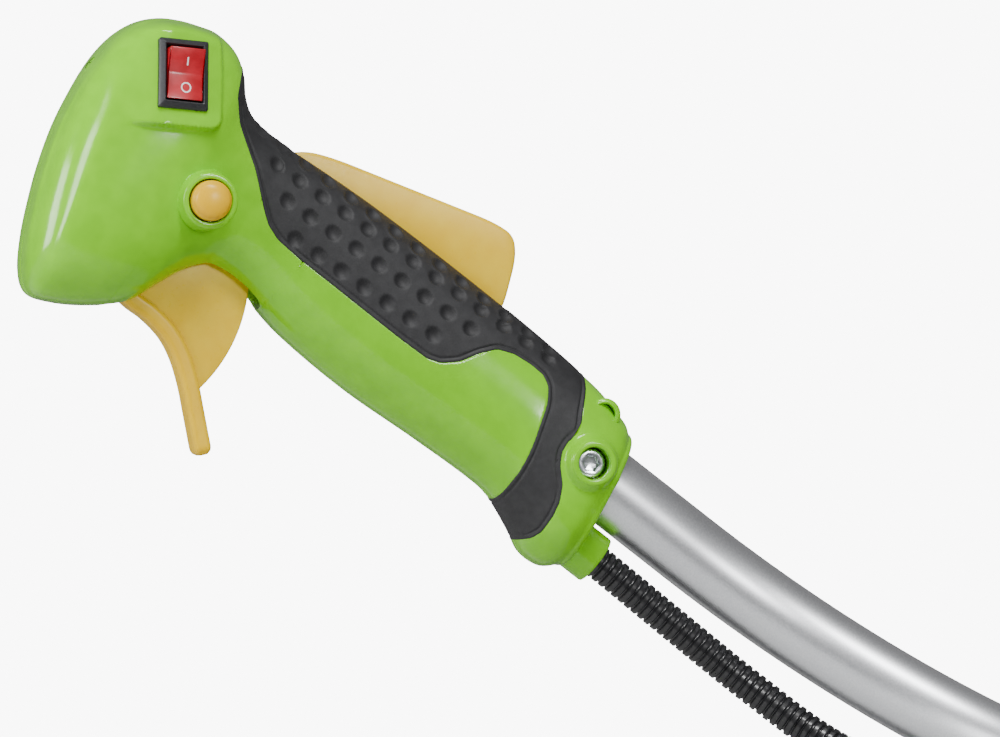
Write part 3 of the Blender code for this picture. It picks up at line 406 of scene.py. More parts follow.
# %% The body's ribs and skin
# each rib: top x, top z, bottom x, bottom z, half width, exponent
RIBS = np.array([
    (-186.6, 6.0, -186.6, 2.0, 4.0, 2.0),
    (-186.2, 13.0, -185.6, -7.0, 13.0, 2.3),
    (-185.0, 17.8, -183.6, -17.6, 17.4, 2.5),
    (-182.6, 22.4, -180.0, -29.0, 20.2, 2.7),
    (-178.8, 26.4, -175.8, -39.2, 22.4, 2.8),
    (-173.8, 29.4, -171.2, -48.6, 23.8, 2.9),
    (-168.5, 31.5, -166.0, -56.4, 24.6, 3.0),
    (-163.0, 33.0, -160.3, -60.4, 25.1, 3.0),
    (-156.0, 32.2, -153.0, -58.0, 25.1, 3.0),
    (-150.5, 29.0, -144.5, -52.5, 24.4, 3.0),
    (-145.7, 23.9, -137.0, -45.5, 22.8, 2.9),
    (-141.2, 20.8, -133.0, -36.5, 21.2, 2.8),
    (-135.9, 19.7, -130.0, -29.8, 19.6, 2.6),
    (-130.0, 19.7, -126.8, -24.9, 18.4, 2.5),
    (-124.0, 20.0, -122.8, -22.0, 17.6, 2.4),
    (-112.0, 21.0, -112.0, -21.4, 17.0, 2.4),
    (-95.0, 22.0, -95.0, -24.6, 17.0, 2.4),
    (-70.0, 22.4, -70.0, -25.6, 17.0, 2.4),
    (-45.0, 22.2, -45.0, -24.2, 17.0, 2.4),
    (-25.0, 21.5, -26.0, -23.4, 17.2, 2.4),
    (-16.0, 20.8, -16.5, -24.0, 17.8, 2.4),
    (-9.0, 20.0, -6.0, -27.8, 19.0, 2.5),
    (-3.5, 18.6, 1.0, -31.2, 20.0, 2.6),
    (2.0, 17.2, 7.8, -31.0, 19.8, 2.6),
    (4.8, 15.4, 11.6, -27.8, 18.2, 2.5),
])
LAST_RIB = len(RIBS) - 1


def ribs_at(position):
    """Columns top x, top z, bottom x, bottom z, half width, exponent at fractional rib positions."""
    position = np.asarray(position, float)
    index = np.clip(position.astype(int), 0, LAST_RIB - 1)
    t = (position - index)[:, None]
    a, b, c, d = (RIBS[np.clip(index + k, 0, LAST_RIB)] for k in (-1, 0, 1, 2))
    return catmull_rom(a, b, c, d, t)


def section(position, angle, inset=0.0):
    """Points of the right half's skin.

    angle runs from 0 on the top line to pi on the bottom line. c and s are its cosine and sine over the
    superellipse's size, and the point is centre + c * reach + s * half width across.
    """
    row = ribs_at(position)
    centre = (row[:, 0:2] + row[:, 2:4]) / 2
    reach = (row[:, 0:2] - row[:, 2:4]) / 2
    height = np.linalg.norm(reach, axis=1, keepdims=True)
    c, s = np.cos(angle), np.abs(np.sin(angle))
    power = row[:, 5:6]
    size = (np.abs(c) ** power + s ** power) ** (-1 / power)
    c, s = c * size, s * size
    tall = np.maximum(height - inset, 0.2)
    wide = np.maximum(row[:, 4:5] - inset, 0.2)
    along = reach / height
    return np.stack((centre[:, :1] + along[:, :1] * c * tall, s * wide, centre[:, 1:] + along[:, 1:] * c * tall),
                    axis=-1)


def positions_every(step, first=0.0, last=LAST_RIB):
    """Rib positions whose stations are about step apart, measured along the faster of both outlines."""
    dense = np.linspace(first, last, 4000)
    row = ribs_at(dense)
    top_move, low_move = np.diff(row[:, 0:2], axis=0), np.diff(row[:, 2:4], axis=0)
    moves = np.maximum(np.hypot(*top_move.T), np.hypot(*low_move.T))
    lengths = np.concatenate(([0], np.cumsum(moves)))
    return np.interp(np.linspace(0, lengths[-1], round(lengths[-1] / step) + 1), lengths, dense)


print("body length", round(RIBS[-1, 2] - RIBS[0, 0], 1), "mm")

# %% [markdown]
# Details of the skin are moves of it across the handle: the switch sits on a flat, slightly leaning plateau,
# the button and the clamp screw stand in round bosses with a soft foot, and screw heads hide in round pits.
# Each is a function of the place in the side view.

# %% Bosses, plateau and pits
BUTTON = (-138.0, -9.4)
CREASE = ((-175.0, -12.8), (-162.6, -55.0))
CLAMP = (-0.8, 0.0)
COLLAR_SCREW = (-5.0, 14.5)
SHELL_SCREWS = ((-176.0, -2.0), (-163.0, -47.0), (-145.5, 9.0), (-76.0, -17.5))
SWITCH_CENTRE = np.array((-166.1, -23.4, 14.9))
SWITCH_SHORT = unit((0.891, 0.115, 0.558))
SWITCH_LONG = unit((-0.561, 0.284, 0.830))
SWITCH_NORMAL = unit(np.cross(SWITCH_SHORT, SWITCH_LONG))
PLATEAU_RIGHT, PLATEAU_LOW, PLATEAU_CORNER, PLATEAU_BEVEL = 8.4, -12.2, 3.0, 1.4
# beyond these two the plateau runs out into the skin, over a length of PLATEAU_FADE
PLATEAU_LEFT, PLATEAU_TOP, PLATEAU_FADE = -3.0, 13.0, 14.0
# the switch's pocket: half width, half length, corner radius
SWITCH_POCKET = (6.9, 9.9, 0.5)
SWITCH_DEPTH, BOSS_DEPTH, SCREW_DEPTH = 8.0, 9.0, 6.0
CREASE_SLOPE, CREASE_ROUNDING = 0.4, 0.8
# skin farther out than this is the handle's side, and not a rim by the parting plane
SIDE_FROM = 8.0
CLAMP_FACE = 22.5
BUTTON_BOSS_TOP = 27.0
# round steps of the skin: radius where each starts, radius where it ends
CLAMP_STEP, CLAMP_WELL, BUTTON_WELL, SCREW_WELL = (6.2, 8.6), (4.9, 5.6), (6.9, 7.9), (3.9, 4.6)


def rounded_rectangle(x, y, half_x, half_y, corner):
    """Distance outside a rounded rectangle, negative inside it."""
    dx, dy = np.abs(x) - (half_x - corner), np.abs(y) - (half_y - corner)
    return np.hypot(np.maximum(dx, 0), np.maximum(dy, 0)) + np.minimum(np.maximum(dx, dy), 0) - corner


def left_details(points):
    """Half width of the left shell's skin with its plateau, boss foot and wells."""
    x, y, z = points[..., 0], points[..., 1], points[..., 2]
    outside = smoothstep(9.0, 16.0, y)
    y = crease(x, y, z)
    # the plateau is a leaning plane: crisp at its lower and right edge, running out into the skin elsewhere
    plane = -SWITCH_CENTRE[1] + (SWITCH_NORMAL[0] * (x - SWITCH_CENTRE[0])
                                 + SWITCH_NORMAL[2] * (z - SWITCH_CENTRE[2])) / SWITCH_NORMAL[1]
    offset = np.stack((x - SWITCH_CENTRE[0], -(plane + SWITCH_CENTRE[1]), z - SWITCH_CENTRE[2]), axis=-1)
    across, along = offset @ SWITCH_SHORT, offset @ SWITCH_LONG
    edge = np.hypot(np.maximum(across - PLATEAU_RIGHT, 0), np.maximum(PLATEAU_LOW - along, 0)) - PLATEAU_CORNER
    far = np.maximum(PLATEAU_LEFT - across, 0) + np.maximum(along - PLATEAU_TOP, 0)
    within, near = 1 - smoothstep(0.0, PLATEAU_BEVEL, edge), 1 - smoothstep(0.0, PLATEAU_FADE, far)
    y = y + (plane - y) * within * near * outside
    away = np.hypot(x - BUTTON[0], z - BUTTON[1])
    y = y - SWITCH_DEPTH * (rounded_rectangle(across, along, *SWITCH_POCKET) < 0)
    y = y - BOSS_DEPTH * (1 - smoothstep(*BUTTON_WELL, away)) * outside
    return clamp_boss(x, y, z)


def crease(x, y, z):
    """The side turns towards the front along a slanted line, and the skin falls away left of it.

    The fall for a distance d is CREASE_SLOPE * (d + sqrt(d * d + CREASE_ROUNDING)) / 2: nearly nothing on one
    side of the line, a slope on the other, and a round bend between them. It fades out near the head's bottom
    and top, and towards the parting plane.
    """
    left = unit((CREASE[0][1] - CREASE[1][1], CREASE[1][0] - CREASE[0][0]))
    distance = -((x - CREASE[0][0]) * left[0] + (z - CREASE[0][1]) * left[1])
    fade = smoothstep(-60.0, -52.0, z) * (1 - smoothstep(-10.0, 12.0, z)) * smoothstep(6.0, 14.0, y)
    fall = 0.5 * (distance + np.sqrt(distance ** 2 + CREASE_ROUNDING)) * CREASE_SLOPE
    return y - fall * fade


def clamp_boss(x, y, z):
    """Round boss about the clamp screw: the skin is drawn up to its face, with a soft foot."""
    away = np.hypot(x - CLAMP[0], z - CLAMP[1])
    y = y + (CLAMP_FACE - 0.4 - y) * (1 - smoothstep(*CLAMP_STEP, away)) * (y > SIDE_FROM)
    return y - BOSS_DEPTH * (1 - smoothstep(*CLAMP_WELL, away)) * (y > SIDE_FROM)


def right_details(points):
    """Half width of the right shell's skin with its clamp boss and the wells of its screws."""
    x, y, z = points[..., 0], points[..., 1], points[..., 2]
    outside = y > SIDE_FROM
    y = crease(x, y, z)
    for sx, sz in SHELL_SCREWS:
        y = y - SCREW_DEPTH * (1 - smoothstep(*SCREW_WELL, np.hypot(x - sx, z - sz))) * outside
    return clamp_boss(x, y, z)


print("the switch faces", round(math.degrees(math.acos(-SWITCH_NORMAL[1])), 1), "degrees off the y axis")

# %% [markdown]
# The rubber pad's outline is needed twice: the green skin dips under the rubber, and the rubber stops along
# it. Its lower edge is a height for each x, and its edge at the collar is an x for each height.

# %% The rubber pad's edges
PAD_LOWER = np.array([(-152.4, 30.5), (-151.4, 26.0), (-149.4, 20.6), (-143.8, 14.4), (-132.2, 6.9),
                      (-122.5, -1.2), (-119.0, -3.7), (-114.0, -5.4), (-105.7, -5.9), (-68.0, -6.1),
                      (-58.0, -5.8), (-53.9, -4.4), (-49.6, -0.6), (-46.3, 5.0), (-42.8, 9.2), (-38.0, 11.2),
                      (-32.0, 11.9), (-27.5, 11.7), (-24.5, 10.0), (-21.8, 5.6), (-17.6, -8.0),
                      (-15.8, -17.0), (-15.0, -40.0), (14.0, -40.0)])
PAD_COLLAR = np.array([(-42.0, -6.0), (-31.0, -3.4), (-29.6, -2.3), (-27.7, -0.6), (-24.1, 0.3), (-19.5, -0.3),
                       (-14.9, -1.4), (-10.2, -3.8), (-6.0, -7.8), (-2.7, -9.6), (0.8, -9.9), (2.6, -9.4),
                       (4.4, -8.7), (7.0, -9.6), (10.5, -11.4), (17.0, -13.9), (19.6, -15.3), (30.0, -19.0)])


def softened(table, window):
    """The same broken line sampled finely and smoothed, so that its corners are round."""
    at = np.linspace(table[0, 0], table[-1, 0], 1600)
    value = np.interp(at, table[:, 0], table[:, 1])
    width = int(window / (at[1] - at[0])) | 1
    kernel = np.hanning(width + 2)[1:-1]
    return at, np.convolve(np.pad(value, width // 2, mode="edge"), kernel / kernel.sum(), mode="valid")


LOWER_X, LOWER_Z = softened(PAD_LOWER, 2.4)
COLLAR_Z, COLLAR_X = softened(PAD_COLLAR, 2.4)


def even_border(x, z, step=0.35):
    """A border's points at even steps along it."""
    run = np.concatenate(([0], np.cumsum(np.hypot(np.diff(x), np.diff(z)))))
    at = np.arange(0, run[-1], step)
    return np.column_stack((np.interp(at, run, x), np.interp(at, run, z)))


BORDER = np.concatenate((even_border(LOWER_X, LOWER_Z), even_border(COLLAR_X, COLLAR_Z)))


def inside_border(x, z):
    """Distance from the pad's borders in the side view: positive on the rubber, negative on the green.

    It is the distance to the nearest of the border's points, worked out for some 2000 places at a time.
    """
    spots = np.column_stack((x.ravel(), z.ravel()))
    nearest = np.concatenate([np.sqrt(((part[:, None] - BORDER) ** 2).sum(axis=2).min(axis=1))
                              for part in np.array_split(spots, len(spots) // 2000 + 1)]).reshape(x.shape)
    on = (z > np.interp(x, LOWER_X, LOWER_Z)) & (x < np.interp(z, COLLAR_Z, COLLAR_X)) & (x > PAD_LOWER[0, 0])
    return np.where(on, nearest, -nearest)


def under_rubber(x, z):
    """How deep the green skin lies under the rubber: 1 well inside the pad's outline, 0 outside."""
    return smoothstep(0.35, 1.5, inside_border(x, z))


print(len(BORDER), "points along the rubber's border")

# %% [markdown]
# Each shell is the skin, an inner wall and the rims that join them. Where the trigger and the safety lever
# come out, the skin stops at the slot's half width instead of at the parting plane, and its edge is rolled.

# %% The two shells
STATION, AROUND, AROUND_INSIDE = 0.62, 176, 45
PARTING = 0.06
# slots: first x, last x, half width
LEVER_SLOT = (-125.5, -45.2, 5.4)
TRIGGER_SLOT = (-142.0, -104.5, 6.2)
SHELL_WALL = 2.4
RUBBER_DEPTH = 1.3
INNER_WALL_END = -30.0
COLLAR_ROLL = 1.8


def slot_half(x, slot, corner=2.5):
    """Half width of a slot, PARTING beyond its ends. Each corner is a quarter circle."""
    first, last, half = slot
    inside = np.minimum(x - first, last - x)
    t = np.clip(inside / corner, 0, 1)
    return np.where(inside > 0, np.maximum(half - corner + corner * np.sqrt(1 - (1 - t) ** 2), PARTING), PARTING)


def angle_range(position, low_gap, high_gap):
    """First and last section angle, where the skin is low_gap and high_gap away from the middle plane."""
    sweep = np.linspace(0, np.pi, 721)
    across = section(position, sweep[None, :])[..., 1]
    first = np.array([np.interp(gap, row[:361], sweep[:361]) for gap, row in zip(low_gap, across)])
    last = np.array([np.interp(-gap, -row[360:], sweep[360:]) for gap, row in zip(high_gap, across)])
    return first, last


def rolled(distance, radius):
    """Inset of a rounded edge: a quarter circle of the radius, in terms of the distance from the edge."""
    t = np.clip(1 - distance / radius, 0, 1)
    return radius * (1 - np.sqrt(1 - t * t * 0.998))


def arc_from_edges(points):
    """Distance along each station from its first and from its last point."""
    steps = np.linalg.norm(np.diff(points, axis=1), axis=2)
    run = np.concatenate((np.zeros((len(points), 1)), np.cumsum(steps, axis=1)), axis=1)
    return run, run[:, -1:] - run


def even_angles(position, first, last, count):
    """Angles between first and last whose points are evenly spaced along the skin."""
    angle = first[:, None] + (last - first)[:, None] * np.linspace(0, 1, 400)
    run = arc_from_edges(section(position, angle))[0]
    return np.array([np.interp(np.linspace(0, line[-1], count), line, turns) for line, turns in zip(run, angle)])


def shell_skin(position, details):
    """Outer and inner sheets of one shell, for y > 0."""
    row = ribs_at(position)
    top_gap, low_gap = slot_half(row[:, 0], LEVER_SLOT), slot_half(row[:, 2], TRIGGER_SLOT)
    first, last = angle_range(position, top_gap, low_gap)
    angle = even_angles(position, first, last, AROUND)
    skin = section(position, angle)
    from_top, from_low = arc_from_edges(skin)
    top_roll = np.where(top_gap > 1, 0.9, 0.3)[:, None]
    low_roll = np.where(low_gap > 1, 1.3, 0.3)[:, None]
    inset = rolled(from_top, top_roll) + rolled(from_low, low_roll)
    dip = RUBBER_DEPTH * under_rubber(skin[..., 0], skin[..., 2])
    outer = section(position, angle, inset + dip)
    keep = np.round(np.linspace(0, AROUND - 1, AROUND_INSIDE)).astype(int)
    inner = section(position, angle, inset * 0.2 + dip + SHELL_WALL)[:, keep]
    outer[..., 1] = np.maximum(details(outer), PARTING)
    inner[..., 1] = np.clip(np.minimum(details(inner), outer[:, keep, 1] - 0.6), PARTING, None)
    return outer, inner


def collar_end(outer):
    """Rounded end of the collar: the last section rolls over a quarter circle and closes on the bar's bore."""
    row = RIBS[-1]
    top, low = np.array((row[0], 0, row[1])), np.array((row[2], 0, row[3]))
    out = unit(np.cross(Y_AXIS, top - low))
    middle = (top + low) / 2
    flat = outer[-1] - middle
    size = np.linalg.norm(flat, axis=1, keepdims=True)
    rings = [middle + flat * (1 - COLLAR_ROLL * (1 - math.cos(turn)) / size) + out * COLLAR_ROLL * math.sin(turn)
             for turn in np.radians(np.linspace(0, 90, 9)[1:])]
    face = rings[-1]
    polar = np.arctan2(np.maximum(face[:, 1], 0), face[:, 2])
    bore = np.column_stack((np.zeros(len(polar)), np.sin(polar), np.cos(polar))) * (BAR_RADIUS + 0.35)
    bore[:, 0] = face[:, 0].mean() - (bore[:, 2] - face[:, 2].mean()) * out[2] / out[0]
    rings += [face + (bore - face) * part for part in (0.35, 0.7, 1.0)]
    return np.stack((*outer, *rings, bore - X_AXIS * 12.0))


def make_shell(name, sign, details, extras):
    """One shell: its skin closed over the collar's end, its inner wall, and a rim along each edge."""
    position = positions_every(STATION)
    outer, inner = shell_skin(position, details)
    count = int(np.argmax(inner[:, 0, 0] > INNER_WALL_END))
    mirror = np.array((1.0, sign, 1.0))
    rims = [np.stack((outer[:count, side], inner[:count, side]), axis=1) for side in (0, -1)]
    sheets = [sheet_of(part * mirror) for part in (collar_end(outer), inner[:count], *rims)]
    return make_piece(name + "_moulding", [*sheets, *extras], LIME, "root", (name,), sharp=50)


# %% [markdown]
# The bosses themselves are turned shapes: a ring with a rounded lip, a bore and a seat. They belong to the
# shells, so they are joined into the same mesh, and their feet stand in the skin.

# %% Turned bosses of the shells
CONDUIT_Z = -19.5


def ring_boss(centre, side, foot, face, outer_foot, outer_lip, bore, seat, lip=0.7, lean=(0.0, 0.0)):
    """Ring standing along y from foot to face, with a bore down to a seat; lean slants its outside."""
    profile = [(outer_foot, foot)]
    for turn in np.radians(np.linspace(0, 90, 7)):
        profile.append((outer_lip - lip * (1 - math.cos(turn)), face - lip + lip * math.sin(turn)))
    for turn in np.radians(np.linspace(90, 0, 6)):
        profile.append((bore + 0.5 - 0.5 * math.cos(turn), face - 0.5 + 0.5 * math.sin(turn)))
    profile += [(bore, seat), (0.01, seat)]
    points, quads = lathe(profile, (centre[0], 0, centre[1]), (0, side, 0), 72)
    away = np.hypot(points[:, 0] - centre[0], points[:, 2] - centre[1])
    slant = np.maximum(face - lip - side * points[:, 1], 0) * (away > bore + 0.6)
    points[:, 0] += slant * lean[0]
    points[:, 2] += slant * lean[1]
    return points, quads


def cable_boss(side):
    """Half of the round boss that takes the conduit, along x below the bar: a profile turned half way."""
    profile = np.array([(7.3, -6.0), (7.5, 12.0), (7.5, 19.8), (7.3, 20.4), (6.8, 20.6), (5.7, 20.6),
                        (5.3, 20.2), (5.3, 8.0)])
    radius, along = profile[:, :1], profile[:, 1:]
    angles = np.linspace(0.004, np.pi - 0.004, 40)
    points = np.broadcast_arrays(along, side * radius * np.sin(angles), CONDUIT_Z + radius * np.cos(angles))
    return sheet_of(np.stack(points, axis=-1))


left_extras = [
    ring_boss(BUTTON, -1, 17.0, BUTTON_BOSS_TOP, 10.2, 8.2, 6.35, 15.5, 0.9, (-0.24, -0.05)),
    ring_boss(CLAMP, -1, 15.0, CLAMP_FACE, 6.9, 6.6, 4.75, 12.4),
    ring_boss((-5.5, 14.3), -1, 4.0, 13.5, 4.9, 4.8, 3.1, 8.0, 1.0), cable_boss(-1)]
right_extras = [
    ring_boss(CLAMP, 1, 15.0, CLAMP_FACE, 6.9, 6.6, 4.75, 16.2),
    ring_boss(COLLAR_SCREW, 1, 4.0, 13.5, 5.3, 5.2, 3.9, 9.5, 0.9), cable_boss(1)]
make_shell("left_shell", -1.0, left_details, left_extras)
make_shell("right_shell", 1.0, right_details, right_extras)

# %% [markdown]
# The rubber is its own surface a hair above the skin, with rolled edges. Round dimples sit on a square
# lattice that is turned a few degrees against the grip, in unrolled coordinates: x along, arc length around.

# %% The rubber grips
DIMPLE_PITCH, DIMPLE_RADIUS, DIMPLE_DEPTH = 8.2, 2.35, 1.15
PAD_STATION, PAD_SAMPLE, PAD_AROUND = 0.62, 0.3, 122
PAD_EDGE_RADIUS, PAD_PROUD, PAD_BACK = 0.8, 0.15, 1.2
GRIP_RADIUS = 20.0
# rows of dimples: first x, first arc length up from the widest line, rise per mm, count
DIMPLE_ROWS = ((-109.9, -0.3, 0.062, 7), (-118.4, 7.2, 0.06, 9), (-127.0, 14.2, 0.055, 13),
               (-136.0, 20.8, 0.022, 14))


def dimples(x, arc):
    """Depth of the dimples: round pits (1 - (r/R)²) deep with a short soft lip."""
    depth = np.zeros(x.shape)
    for first_x, first_arc, rise, count in DIMPLE_ROWS:
        number = np.clip(np.round((x - first_x) / DIMPLE_PITCH), 0, count - 1)
        centre_x = first_x + number * DIMPLE_PITCH
        r = np.hypot(x - centre_x, arc - first_arc - rise * (centre_x - first_x)) / DIMPLE_RADIUS
        depth = np.maximum(depth, DIMPLE_DEPTH * np.clip(1 - r ** 2, 0, 1) ** 0.8)
        depth -= 0.16 * np.exp(-((r - 1.16) / 0.13) ** 2)
    return depth


def arc_to_height():
    """Arc length and height along a section in the middle of the grip, from its widest point up."""
    half = section(np.array([16.6]), np.linspace(np.pi / 2, 0, 400)[None, :])[0]
    run = np.concatenate(([0], np.cumsum(np.linalg.norm(np.diff(half, axis=0), axis=1))))
    return run, half[:, 2]


ARC, HEIGHT = arc_to_height()


def pad_position_limits():
    """Rib positions where the pad starts on the top line and ends on the bottom line."""
    dense = np.linspace(0, LAST_RIB, 6000)
    row = ribs_at(dense)
    return dense[np.argmax(row[:, 0] > -151.6)], dense[np.argmax(row[:, 2] > 0.35)]


def pad_edges(position):
    """Lower and upper end of the pad on each rib, as cosines along the rib.

    A point is inside where both borders' margins are positive; the longest run of such points on a rib is
    the pad, and its ends are where the smaller margin crosses zero.
    """
    row = ribs_at(position)
    c = np.linspace(1, -1, 600)
    x = row[:, 2:3] + (row[:, 0:1] - row[:, 2:3]) * (c + 1) / 2
    z = row[:, 3:4] + (row[:, 1:2] - row[:, 3:4]) * (c + 1) / 2
    margin = np.minimum(z - np.interp(x, LOWER_X, LOWER_Z), np.interp(z, COLLAR_Z, COLLAR_X) - x)
    low, high = np.full(len(position), 1.0), np.full(len(position), 1.0)
    for k, line in enumerate(margin):
        steps = np.flatnonzero(np.diff(np.concatenate(([0], line > 0, [0]))))
        if not len(steps):
            continue
        starts, stops = steps[::2], steps[1::2]
        best = np.argmax(stops - starts)
        first, last = starts[best], stops[best] - 1
        high[k], low[k] = c[first], c[last]
        if first > 0:
            high[k] = np.interp(0, line[first - 1:first + 1], c[first - 1:first + 1])
        if last < len(c) - 1:
            low[k] = np.interp(0, line[last:last + 2][::-1], c[last:last + 2][::-1])
    return low, high


def angle_for(position, cosine):
    """Section angle whose point lies at that fraction of the rib."""
    sweep = np.linspace(0, np.pi, 721)
    row = ribs_at(position)
    c, s = np.cos(sweep), np.abs(np.sin(sweep))
    power = row[:, 5:6]
    reached = c * (np.abs(c) ** power + s ** power) ** (-1 / power)
    return np.array([np.interp(-value, -line, sweep) for value, line in zip(cosine, reached)])


def make_pad(name, sign):
    """One rubber pad: at each station a closed ring of proud, dimpled skin with rolled edges, and its back."""
    start, end = pad_position_limits()
    position = positions_every(PAD_SAMPLE, start, end)
    low, high = pad_edges(position)
    row = ribs_at(position)
    parting = np.full(len(position), PARTING)
    gap_first, _ = angle_range(position, slot_half(row[:, 0], LEVER_SLOT), parting)
    first = np.maximum(angle_for(position, high), gap_first)
    last = np.maximum(angle_for(position, low), first + 0.002)
    last = np.where(low <= -0.999, angle_range(position, parting, parting)[1], last)
    # where an edge jumps from one station to the next, stations are added between them
    jump = GRIP_RADIUS * np.maximum(np.abs(np.diff(first)), np.abs(np.diff(last)))
    pace = np.concatenate(([0], np.cumsum(np.maximum(PAD_SAMPLE, jump) / PAD_STATION)))
    stop = np.linspace(0, pace[-1], round(pace[-1]) + 1)
    position, low, first, last = (np.interp(stop, pace, values) for values in (position, low, first, last))
    angle = even_angles(position, first, last, PAD_AROUND)
    skin = section(position, angle)
    from_top, from_low = arc_from_edges(skin)
    border = np.maximum(inside_border(skin[..., 0], skin[..., 2]), 0)
    border[:, -1] = np.where(low > -0.999, 0, border[:, -1])
    edge = np.minimum(border, np.minimum(from_top, from_low) + 0.25)
    arc_up = np.interp(skin[..., 2], HEIGHT, ARC) + np.minimum(skin[..., 2] - HEIGHT[0], 0)
    # a thin bead runs along the border, and a groove inside it
    groove = 0.3 * np.exp(-((border - 1.6) / 0.35) ** 2)
    surface = section(position, angle, rolled(edge, PAD_EDGE_RADIUS) - PAD_PROUD + groove
                      + dimples(skin[..., 0], arc_up) * smoothstep(0.2, 1.4, from_top))
    surface[..., 1] = np.maximum(surface[..., 1], PARTING)
    back = section(position, angle, PAD_BACK)
    back[..., 1] = np.maximum(np.minimum(back[..., 1], surface[..., 1]), PARTING)
    ring = np.concatenate((surface, back[:, ::-1]), axis=1) * (1.0, sign, 1.0)
    return make_piece(name + "_rubber", [sheet_of(ring, wrap_columns=True)], RUBBER, "root",
                      (name,), sharp=60)


make_pad("left_grip_pad", -1.0)
make_pad("right_grip_pad", 1.0)

# %% [markdown]
# Flat mouldings such as the trigger's web and the safety lever are slabs: an outline with a rounded rim on
# both faces. The rim is the outline drawn inwards along its normals by r(1 - cos a) while it rises r sin a.

# %% Slabs with rounded rims
def rounded_outline(corners, radius, per_corner=5):
    """Closed outline whose corners are replaced by short curves (quadratic Bezier) of about radius."""
    corners = np.array(corners, float)
    t = np.linspace(0, 1, per_corner)[:, None]
    runs = []
    for before, here, after in zip(np.roll(corners, 1, 0), corners, np.roll(corners, -1, 0)):
        back, ahead = before - here, after - here
        cut_back = min(radius, np.linalg.norm(back) * 0.45)
        cut_ahead = min(radius, np.linalg.norm(ahead) * 0.45)
        a, c = here + unit(back) * cut_back, here + unit(ahead) * cut_ahead
        runs.append((1 - t) ** 2 * a + 2 * t * (1 - t) * here + t * t * c)
    return np.vstack(runs)


def slab(outline, y_low, y_high, rim, steps=5):
    """Outline in x and z between two y values, with both rims rounded."""
    outline = np.array(outline, float)
    if np.sum(outline[:, 0] * np.roll(outline[:, 1], -1) - np.roll(outline[:, 0], -1) * outline[:, 1]) < 0:
        outline = outline[::-1]
    along = np.roll(outline, -1, 0) - np.roll(outline, 1, 0)
    along /= np.linalg.norm(along, axis=1, keepdims=True) + 1e-12
    inward = np.column_stack((-along[:, 1], along[:, 0]))
    rings = []
    for turn in np.radians(np.linspace(90, 0, steps)):
        rings.append((outline + inward * rim * (1 - math.cos(turn)), y_low + rim - rim * math.sin(turn)))
    for turn in np.radians(np.linspace(0, 90, steps)):
        rings.append((outline + inward * rim * (1 - math.cos(turn)), y_high - rim + rim * math.sin(turn)))
    points = np.stack([np.column_stack((ring[:, 0], np.full(len(ring), y), ring[:, 1])) for ring, y in rings])
    vertices, quads = sheet_of(points, wrap_columns=True)
    count = len(outline)
    caps = [list(range(count)), list(range(len(vertices) - 1, len(vertices) - 1 - count, -1))]
    return vertices, [*quads.tolist(), *caps]


print("a triangle's rounded outline has", len(rounded_outline([(0, 0), (9, 0), (0, 9)], 1.0)), "points")

# %% [markdown]
# The trigger is one moulding: a curved blade for the finger, a thin web behind it that slides up into the
# grip, a hub on the pin, and an arm that holds the cable's nipple. The web's back edge is an arc about the
# pivot, so that it keeps closing its slot as it moves. The web is drawn as its own piece, because thin
# acetal looks paler than thick.

# %% Trigger
TRIGGER_PIVOT = np.array((-149.0, 0.0, -44.0))
TRIGGER_EDGE = 45.7
ANCHOR = TRIGGER_PIVOT + 35.0 * np.array((math.sin(math.radians(11)), 0, math.cos(math.radians(11))))
BLADE_LINE = [(-145.0, 0, -41.5), (-136.0, 0, -43.2), (-129.0, 0, -43.1), (-121.4, 0, -44.2),
              (-114.6, 0, -47.1), (-107.4, 0, -52.1), (-100.4, 0, -58.2), (-93.6, 0, -64.2), (-91.2, 0, -66.2)]


def blade():
    """Rounded rectangle |y/5.6|⁵ + |n/2.6|⁵ = 1 carried along the blade's line, domed at its end."""
    line, at = even_line(smooth_line(BLADE_LINE, 1.0), 0.8)
    tangent = np.gradient(line, axis=0)
    tangent /= np.linalg.norm(tangent, axis=1, keepdims=True)
    normal = np.cross(tangent, Y_AXIS)
    angles = np.linspace(0, 2 * np.pi, 48, endpoint=False)
    c, s = np.cos(angles), np.sin(angles)
    size = (np.abs(c) ** 5 + np.abs(s) ** 5) ** (-1 / 5)
    from_end = at[-1] - at
    shrink = np.sqrt(np.clip(1 - (1 - np.clip(from_end / 2.4, 0, 1)) ** 2, 0.02, 1))
    wide = 5.6 - 0.9 * (1 - shrink) * 2
    thick = 2.6 * (0.35 + 0.65 * shrink)
    points = line[:, None] + (c * size)[None, :, None] * wide[:, None, None] * Y_AXIS \
        + (s * size)[None, :, None] * thick[:, None, None] * normal[:, None]
    return closed_tube(points)


def arc_points(centre, radius, first, last, count):
    """Points of a circle in x and z, between two angles in degrees."""
    angles = np.radians(np.linspace(first, last, count))
    return np.column_stack((centre[0] + radius * np.cos(angles), centre[2] + radius * np.sin(angles)))


